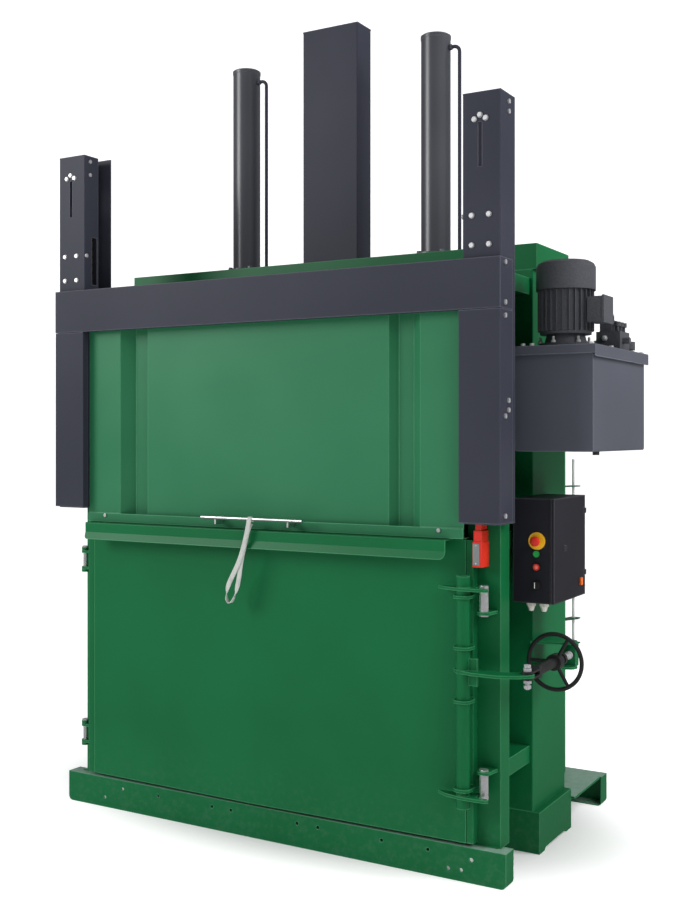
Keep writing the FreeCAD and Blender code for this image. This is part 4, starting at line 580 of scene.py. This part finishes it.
def washers():
    """Thin washers under the bolt heads on the front of the guide posts."""
    low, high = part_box("guide_posts")
    middle_line = high.x - POST_WIDTH / 2
    for tag, side in SIDES:
        for index, (offset, drop) in enumerate(FRONT_BOLTS):
            place = (side * middle_line + offset, low.y, high.z - drop)
            lathe(f"front_washer_{tag}_{index}", FRONT_WASHER, place, "y", ZINC, "frame", sides=24)


def inner_bolts():
    """Hexagon heads on the inner faces of the guide posts."""
    low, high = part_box("guide_posts")
    inner_face = high.x - POST_WIDTH
    for tag, side in SIDES:
        head = [(radius, -side * height) for radius, height in BOLT_HEAD]
        for index, (behind, drop) in enumerate(INNER_BOLTS):
            place = (side * inner_face, low.y + behind, high.z - drop)
            lathe(f"inner_bolt_{tag}_{index}", head, place, "x", ZINC, "frame", sides=6)


# ------------------------------------------------------------------ push screw of the lock

THREAD_ROOT, THREAD_CREST, THREAD_PITCH = 0.0115, 0.0129, 0.005
THREAD_FRONT, THREAD_REAR = -0.455, -0.1675
THREAD_SIDES, ROWS_PER_TURN = 24, 8
FRONT_CHAMFER = 0.001       # length of the chamfer that leads on to the thread
CHAMFER_RADIUS = 0.010
SCREW_NOSE = ((0.0165, -0.167), (0.017, -0.1665), (0.017, -0.153), (0.0065, -0.1355), (0.0055, -0.135))


def thread_depth(turns):
    """0 at the root of the thread and 1 at its crest, for a number of turns along the screw."""
    return min(1, max(0, abs(turns % 1 - 0.5) * 4 - 0.5))


def screw_thread():
    """The push screw with its thread cut, in place of the plain bar."""
    axis = middle("handwheel")
    mesh = bpy.data.meshes.new("push_screw_thread")
    build = bmesh.new()

    def ring(along, radii):
        return [build.verts.new((axis.x + radius * math.cos(turn), along, axis.z + radius * math.sin(turn)))
                for radius, turn in zip(radii, circle(THREAD_SIDES))]

    rows = int((THREAD_REAR - THREAD_FRONT) / THREAD_PITCH * ROWS_PER_TURN)
    start = THREAD_FRONT + FRONT_CHAMFER
    rings = [ring(THREAD_FRONT, [CHAMFER_RADIUS] * THREAD_SIDES)]
    for row in range(rows + 1):
        along = start + (THREAD_REAR - start) * row / rows
        rings.append(ring(along, [
            THREAD_ROOT + (THREAD_CREST - THREAD_ROOT) * thread_depth(along / THREAD_PITCH - step / THREAD_SIDES)
            for step in range(THREAD_SIDES)]))
    rings += [ring(along, [radius] * THREAD_SIDES) for radius, along in SCREW_NOSE]
    skin_rings(build, rings)
    build.to_mesh(mesh)
    piece = add_piece("push_screw_thread", mesh, ZINC, "screw")
    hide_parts("push_screw")


# ------------------------------------------------------------------ control box and interlock switch

RESET_LENS = ((CENTRE, -0.0008), (0.0055, -0.0008), (0.0068, -0.0003), (0.0070, 0.0005), (CENTRE, 0.0005))
STOP_HEAD = ((CENTRE, 0.0), (0.0080, 0.0002), (0.0140, 0.0014), (0.0180, 0.0038), (0.0198, 0.0070),
             (0.0200, 0.0105), (0.0190, 0.0130), (0.0150, 0.0145), (0.0120, 0.0165), (0.0112, 0.0290),
             (0.0112, 0.0460), (CENTRE, 0.0460))
COVER_SCREW = ((CENTRE, -0.0038), (0.0022, -0.0038), (0.0030, -0.0030), (0.0030, -0.0020), (CENTRE, -0.0020))
FRAME_RIM = 0.0025          # how far the lamp's frame stands out round the lamp, and off the door


def panel_details():
    """What sits on the control box: lens, selector marker, rubber of the door's seam and lamp frame."""
    button = middle("reset_button")
    lathe("reset_lens", RESET_LENS, (button.x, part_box("reset_button")[0].y, button.z), "y", LENS, "reset_button")
    low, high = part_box("selector_knob")
    eased_block("selector_marker", (button.x - 0.0015, low.y - 0.0006, low.z + 0.003),
                (button.x + 0.0015, low.y + 0.0005, high.z - 0.0005), 0.0005, WHITE, "selector")
    low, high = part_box("control_box")
    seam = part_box("cabinet_door")[0].x
    eased_block("cabinet_gasket", (seam - 0.0052, low.y - 0.0010, low.z + 0.001),
                (seam - 0.0002, low.y + 0.0022, high.z - 0.001), 0.0004, RUBBER, "frame")
    eased_block("cabinet_gasket_top", (seam - 0.0015, low.y + 0.002, high.z - 0.0025),
                (seam + 0.0005, high.y - 0.013, high.z - 0.001), 0.0004, RUBBER, "frame")
    low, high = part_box("cabinet_lamp")
    eased_block("lamp_frame", (low.x - 0.0005, low.y - FRAME_RIM, low.z - FRAME_RIM),
                (low.x + FRAME_RIM, high.y + FRAME_RIM, high.z + FRAME_RIM), 0.0008, BLACK, "cabinet_leaf")


def stop_mushroom():
    """Palm head of the stop button on its neck, over the yellow plate."""
    place = (middle("start_button").x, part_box("stop_button")[0].y, middle("stop_button").z)
    piece = lathe("stop_mushroom", STOP_HEAD, place, "y", RED, "stop_button", sides=48)
    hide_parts("stop_button")


def interlock_cover():
    """Grey front cover of the interlock switch with its two screws."""
    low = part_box("interlock_switch")[0]
    eased_block("interlock_cover", low + Vector((0.0015, -0.0025, 0.007)), low + Vector((0.029, 0.001, 0.090)),
                0.0012, GREY, "frame")
    for index, height in enumerate((0.014, 0.083)):
        lathe(f"interlock_screw_{index}", COVER_SCREW, low + Vector((0.0152, 0, height)), "y", ZINC, "frame",
              sides=16)


# ------------------------------------------------------------------ power pack

NUT = ((CENTRE, 0.0), (0.0098, 0.0), (0.0104, 0.001), (0.0104, 0.009), (0.0095, 0.010))
STUD_AND_NUT = (*NUT, (0.0056, 0.0105), (0.0056, 0.024), (0.0046, 0.0255), (CENTRE, 0.0255))
LID_BOLT = (*NUT, (CENTRE, 0.0105))
STUD_COUNT, STUD_CIRCLE, FIRST_STUD = 6, 0.0945, 202.5      # how many, on what radius, from what angle
MOTOR_REACH = 0.105         # from the left side of the motor to the middle of the studs
FOOT_THICKNESS = 0.012
UNION = ((CENTRE, -0.016), (0.0085, -0.016), (0.0095, -0.015), (0.0095, -0.008), (0.0125, -0.007),
         (0.0125, 0.000), (0.0115, 0.0015), (CENTRE, 0.0015))
UNIONS = (("x", (-0.0015, 0.025, 0.035)), ("x", (-0.0015, 0.090, 0.035)), ("y", (0.037, -0.0015, 0.050)))
COIL_NUT = ((CENTRE, 0.0), (0.0105, 0.0), (0.0112, 0.0012), (0.0112, 0.005), (0.0100, 0.0065), (CENTRE, 0.0065))


def motor_studs():
    """Nuts on studs round the foot of the motor's bell, and two bolts at the front edge of the lid."""
    lid_low, lid_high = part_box("tank_lid")
    seat = lid_high.z + SEAT_GAP
    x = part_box("motor_body")[0].x + MOTOR_REACH
    y = middle("motor_body").y
    for index in range(STUD_COUNT):
        turn = math.radians(FIRST_STUD + 360 / STUD_COUNT * index)
        place = (x + STUD_CIRCLE * math.cos(turn), y + STUD_CIRCLE * math.sin(turn), seat + FOOT_THICKNESS)
        lathe(f"motor_stud_{index}", STUD_AND_NUT, place, "z", ZINC, "frame", sides=6)
    for index, offset in enumerate((0.0495, 0.0865)):
        place = (lid_low.x + offset, lid_low.y + 0.011, seat)
        lathe(f"lid_edge_bolt_{index}", LID_BOLT, place, "z", ZINC, "frame", sides=6)


def valve_fittings():
    """Pipe unions on the valve block, and the nuts that hold the coils on its top."""
    low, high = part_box("valve_block")
    for index, (axis, offset) in enumerate(UNIONS):
        lathe(f"union_{index}", UNION, low + Vector(offset), axis, ZINC, "frame", sides=6)
    for index, behind in enumerate((0.029, 0.085)):
        place = (low.x + 0.038, low.y + behind, high.z + 0.0001)
        lathe(f"coil_nut_{index}", COIL_NUT, place, "z", ZINC, "frame", sides=24)


# ------------------------------------------------------------------ welds

BEAD_RADIUS = 0.0045
BEAD_STEP = 0.004           # length of one scale of the bead
BEAD_SIDES = 8
RIB_LEVELS = (0.440, 1.334)
RIB_WELD = (-0.480, -0.200)     # its front and rear end along the side wall


def weld(name, start, end):
    """A bead of weld on the fixed frame: overlapping scales along a joint."""
    start, end = Vector(start), Vector(end)
    along = (end - start).normalized()
    side = along.orthogonal().normalized()
    up = along.cross(side)
    count = max(8, int((end - start).length / BEAD_STEP))
    mesh = bpy.data.meshes.new(name)
    build = bmesh.new()
    rings = []
    for step in range(count + 1):
        ripple = 0.14 * (step % 2) + 0.05 * math.sin(step * 2.3)
        radius = BEAD_RADIUS * (0.55 if step in (0, count) else 0.9 + ripple)
        centre = start.lerp(end, step / count)
        rings.append([build.verts.new(centre + (side * math.cos(turn) + up * math.sin(turn)) * radius)
                      for turn in circle(BEAD_SIDES)])
    skin_rings(build, rings)
    build.to_mesh(mesh)
    add_piece(name, mesh, GREEN, "frame")


def welds():
    """Beads at the screw's bracket, the feet of the front posts and the side ribs."""
    column_low, column_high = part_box("yoke_columns")
    bracket_low, bracket_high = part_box("screw_bracket")
    column_face = column_high.x + SEAT_GAP
    for index, height in enumerate((bracket_low.z, bracket_high.z)):
        weld(f"bracket_weld_{index}", (column_face, column_low.y + 0.005, height),
             (column_face, bracket_high.y - 0.006, height))
    wall_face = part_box("side_walls")[1].x
    posts_low, posts_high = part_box("front_posts")
    front = posts_low.y - 0.0005
    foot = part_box("base_beams")[1].z + 0.001
    for tag, side in SIDES:
        weld(f"post_foot_weld_{tag}", (side * (wall_face + 0.0075), front, foot),
             (side * (posts_high.x - 0.010), front, foot))
        rib_joint = side * (wall_face + 0.0007)
        for level in RIB_LEVELS:
            weld(f"rib_weld_{tag}_{level * 1000:.0f}", *((rib_joint, y, level) for y in RIB_WELD))


washers()
inner_bolts()
screw_thread()
panel_details()
stop_mushroom()
motor_studs()
interlock_cover()
valve_fittings()
welds()


# ------------------------------------------------------------------ stage

FLOOR_REACH, FLOOR_SIDE = 14.0, 30      # from the machine to the backdrop, and to each side
BACKDROP_HEIGHT = 9.0
BEND_RADIUS, BEND_STEPS = 3.0, 24       # where the floor turns up
FLOOR_GLOW = 0.60
SHADOW_OVAL_SHAPE = (0.78, 1.45, 0)            # the floor's glow leaves out an oval round the machine, which shows as a painted soft shadow
SHADOW_OVAL_EDGE = (0.75, 1.35)                # no glow inside the first distance, full glow outside the second
SKY_STRENGTH = 0.22
MACHINE_MIDDLE = (0, 0, 1.6)


def pale_floor():
    """Plain pale floor that turns up behind into a plain backdrop; it glows evenly except in an oval round the
    machine, where the glow fades out into a painted soft shadow.
    """
    sheet = bpy.data.meshes.new("floor")
    build = bmesh.new()
    bend = FLOOR_REACH - BEND_RADIUS
    line = [(-FLOOR_REACH, 0.0), (bend, 0.0)]
    for step in range(1, BEND_STEPS + 1):
        angle = math.pi / 2 * step / BEND_STEPS
        line.append((bend + BEND_RADIUS * math.sin(angle), BEND_RADIUS - BEND_RADIUS * math.cos(angle)))
    line.append((FLOOR_REACH, BACKDROP_HEIGHT))
    rows = [[build.verts.new((side * FLOOR_SIDE, along, up)) for side in (-1, 1)] for along, up in line]
    for near, far in zip(rows, rows[1:]):
        build.faces.new((near[0], near[1], far[1], far[0])).smooth = True
    build.to_mesh(sheet)
    floor = bpy.data.objects.new("floor", sheet)
    floor.rotation_euler = (0, 0, CAMERA_TURN)
    bpy.context.scene.collection.objects.link(floor)
    paint = Paint("pale_floor", Specular_IOR_Level=0.1, Emission_Strength=FLOOR_GLOW)
    turned = paint.node("ShaderNodeVectorRotate", {"rotation_type": "Z_AXIS"},
                        {"Vector": paint.place, "Angle": CAMERA_TURN}, "Vector")
    oval = paint.node("ShaderNodeVectorMath", {"operation": "MULTIPLY"}, {0: turned, 1: SHADOW_OVAL_SHAPE}, "Vector")
    distance = paint.node("ShaderNodeVectorMath", {"operation": "LENGTH"}, {0: oval}, "Value")
    # painted shadow: the glow fades out towards the machine, leaving the floor darker in an oval round it, on top
    # of the lamps' own shadows
    paint.set("Emission Color", paint.mix(paint.band(distance, *SHADOW_OVAL_EDGE), (0.0, 0.0, 0.0), (1.0, 1.0, 1.0)))
    paint.set("Base Color", paint.mix(paint.noise(0.8, detail=2), (0.86, 0.86, 0.86), (0.88, 0.88, 0.88)))
    paint.set("Roughness", 0.8)
    sheet.materials.append(paint.material)
    floor.visible_glossy = False


def light_the_set():
    """Even studio light: a weak white sky and three soft boxes."""
    world = bpy.data.worlds.new("studio")
    bpy.context.scene.world = world
    world.use_nodes = True
    background = world.node_tree.nodes["Background"]
    background.inputs["Color"].default_value = (1, 1, 1, 1)
    background.inputs["Strength"].default_value = SKY_STRENGTH
    bpy.context.scene.view_settings.view_transform = "Standard"
    add_light("left", (-6.0, -7.0, 5.0), MACHINE_MIDDLE, size=(4, 4), power=560)
    add_light("right", (7.0, -3.5, 5.5), MACHINE_MIDDLE, size=(4, 4), power=250, glossy=False)
    add_light("side", (4.8, 0.8, 4.8), (1.2, 0, 2.6), size=(2.5, 2.5), power=190, glossy=False)


set_camera()
strap()
light_the_set()
pale_floor()
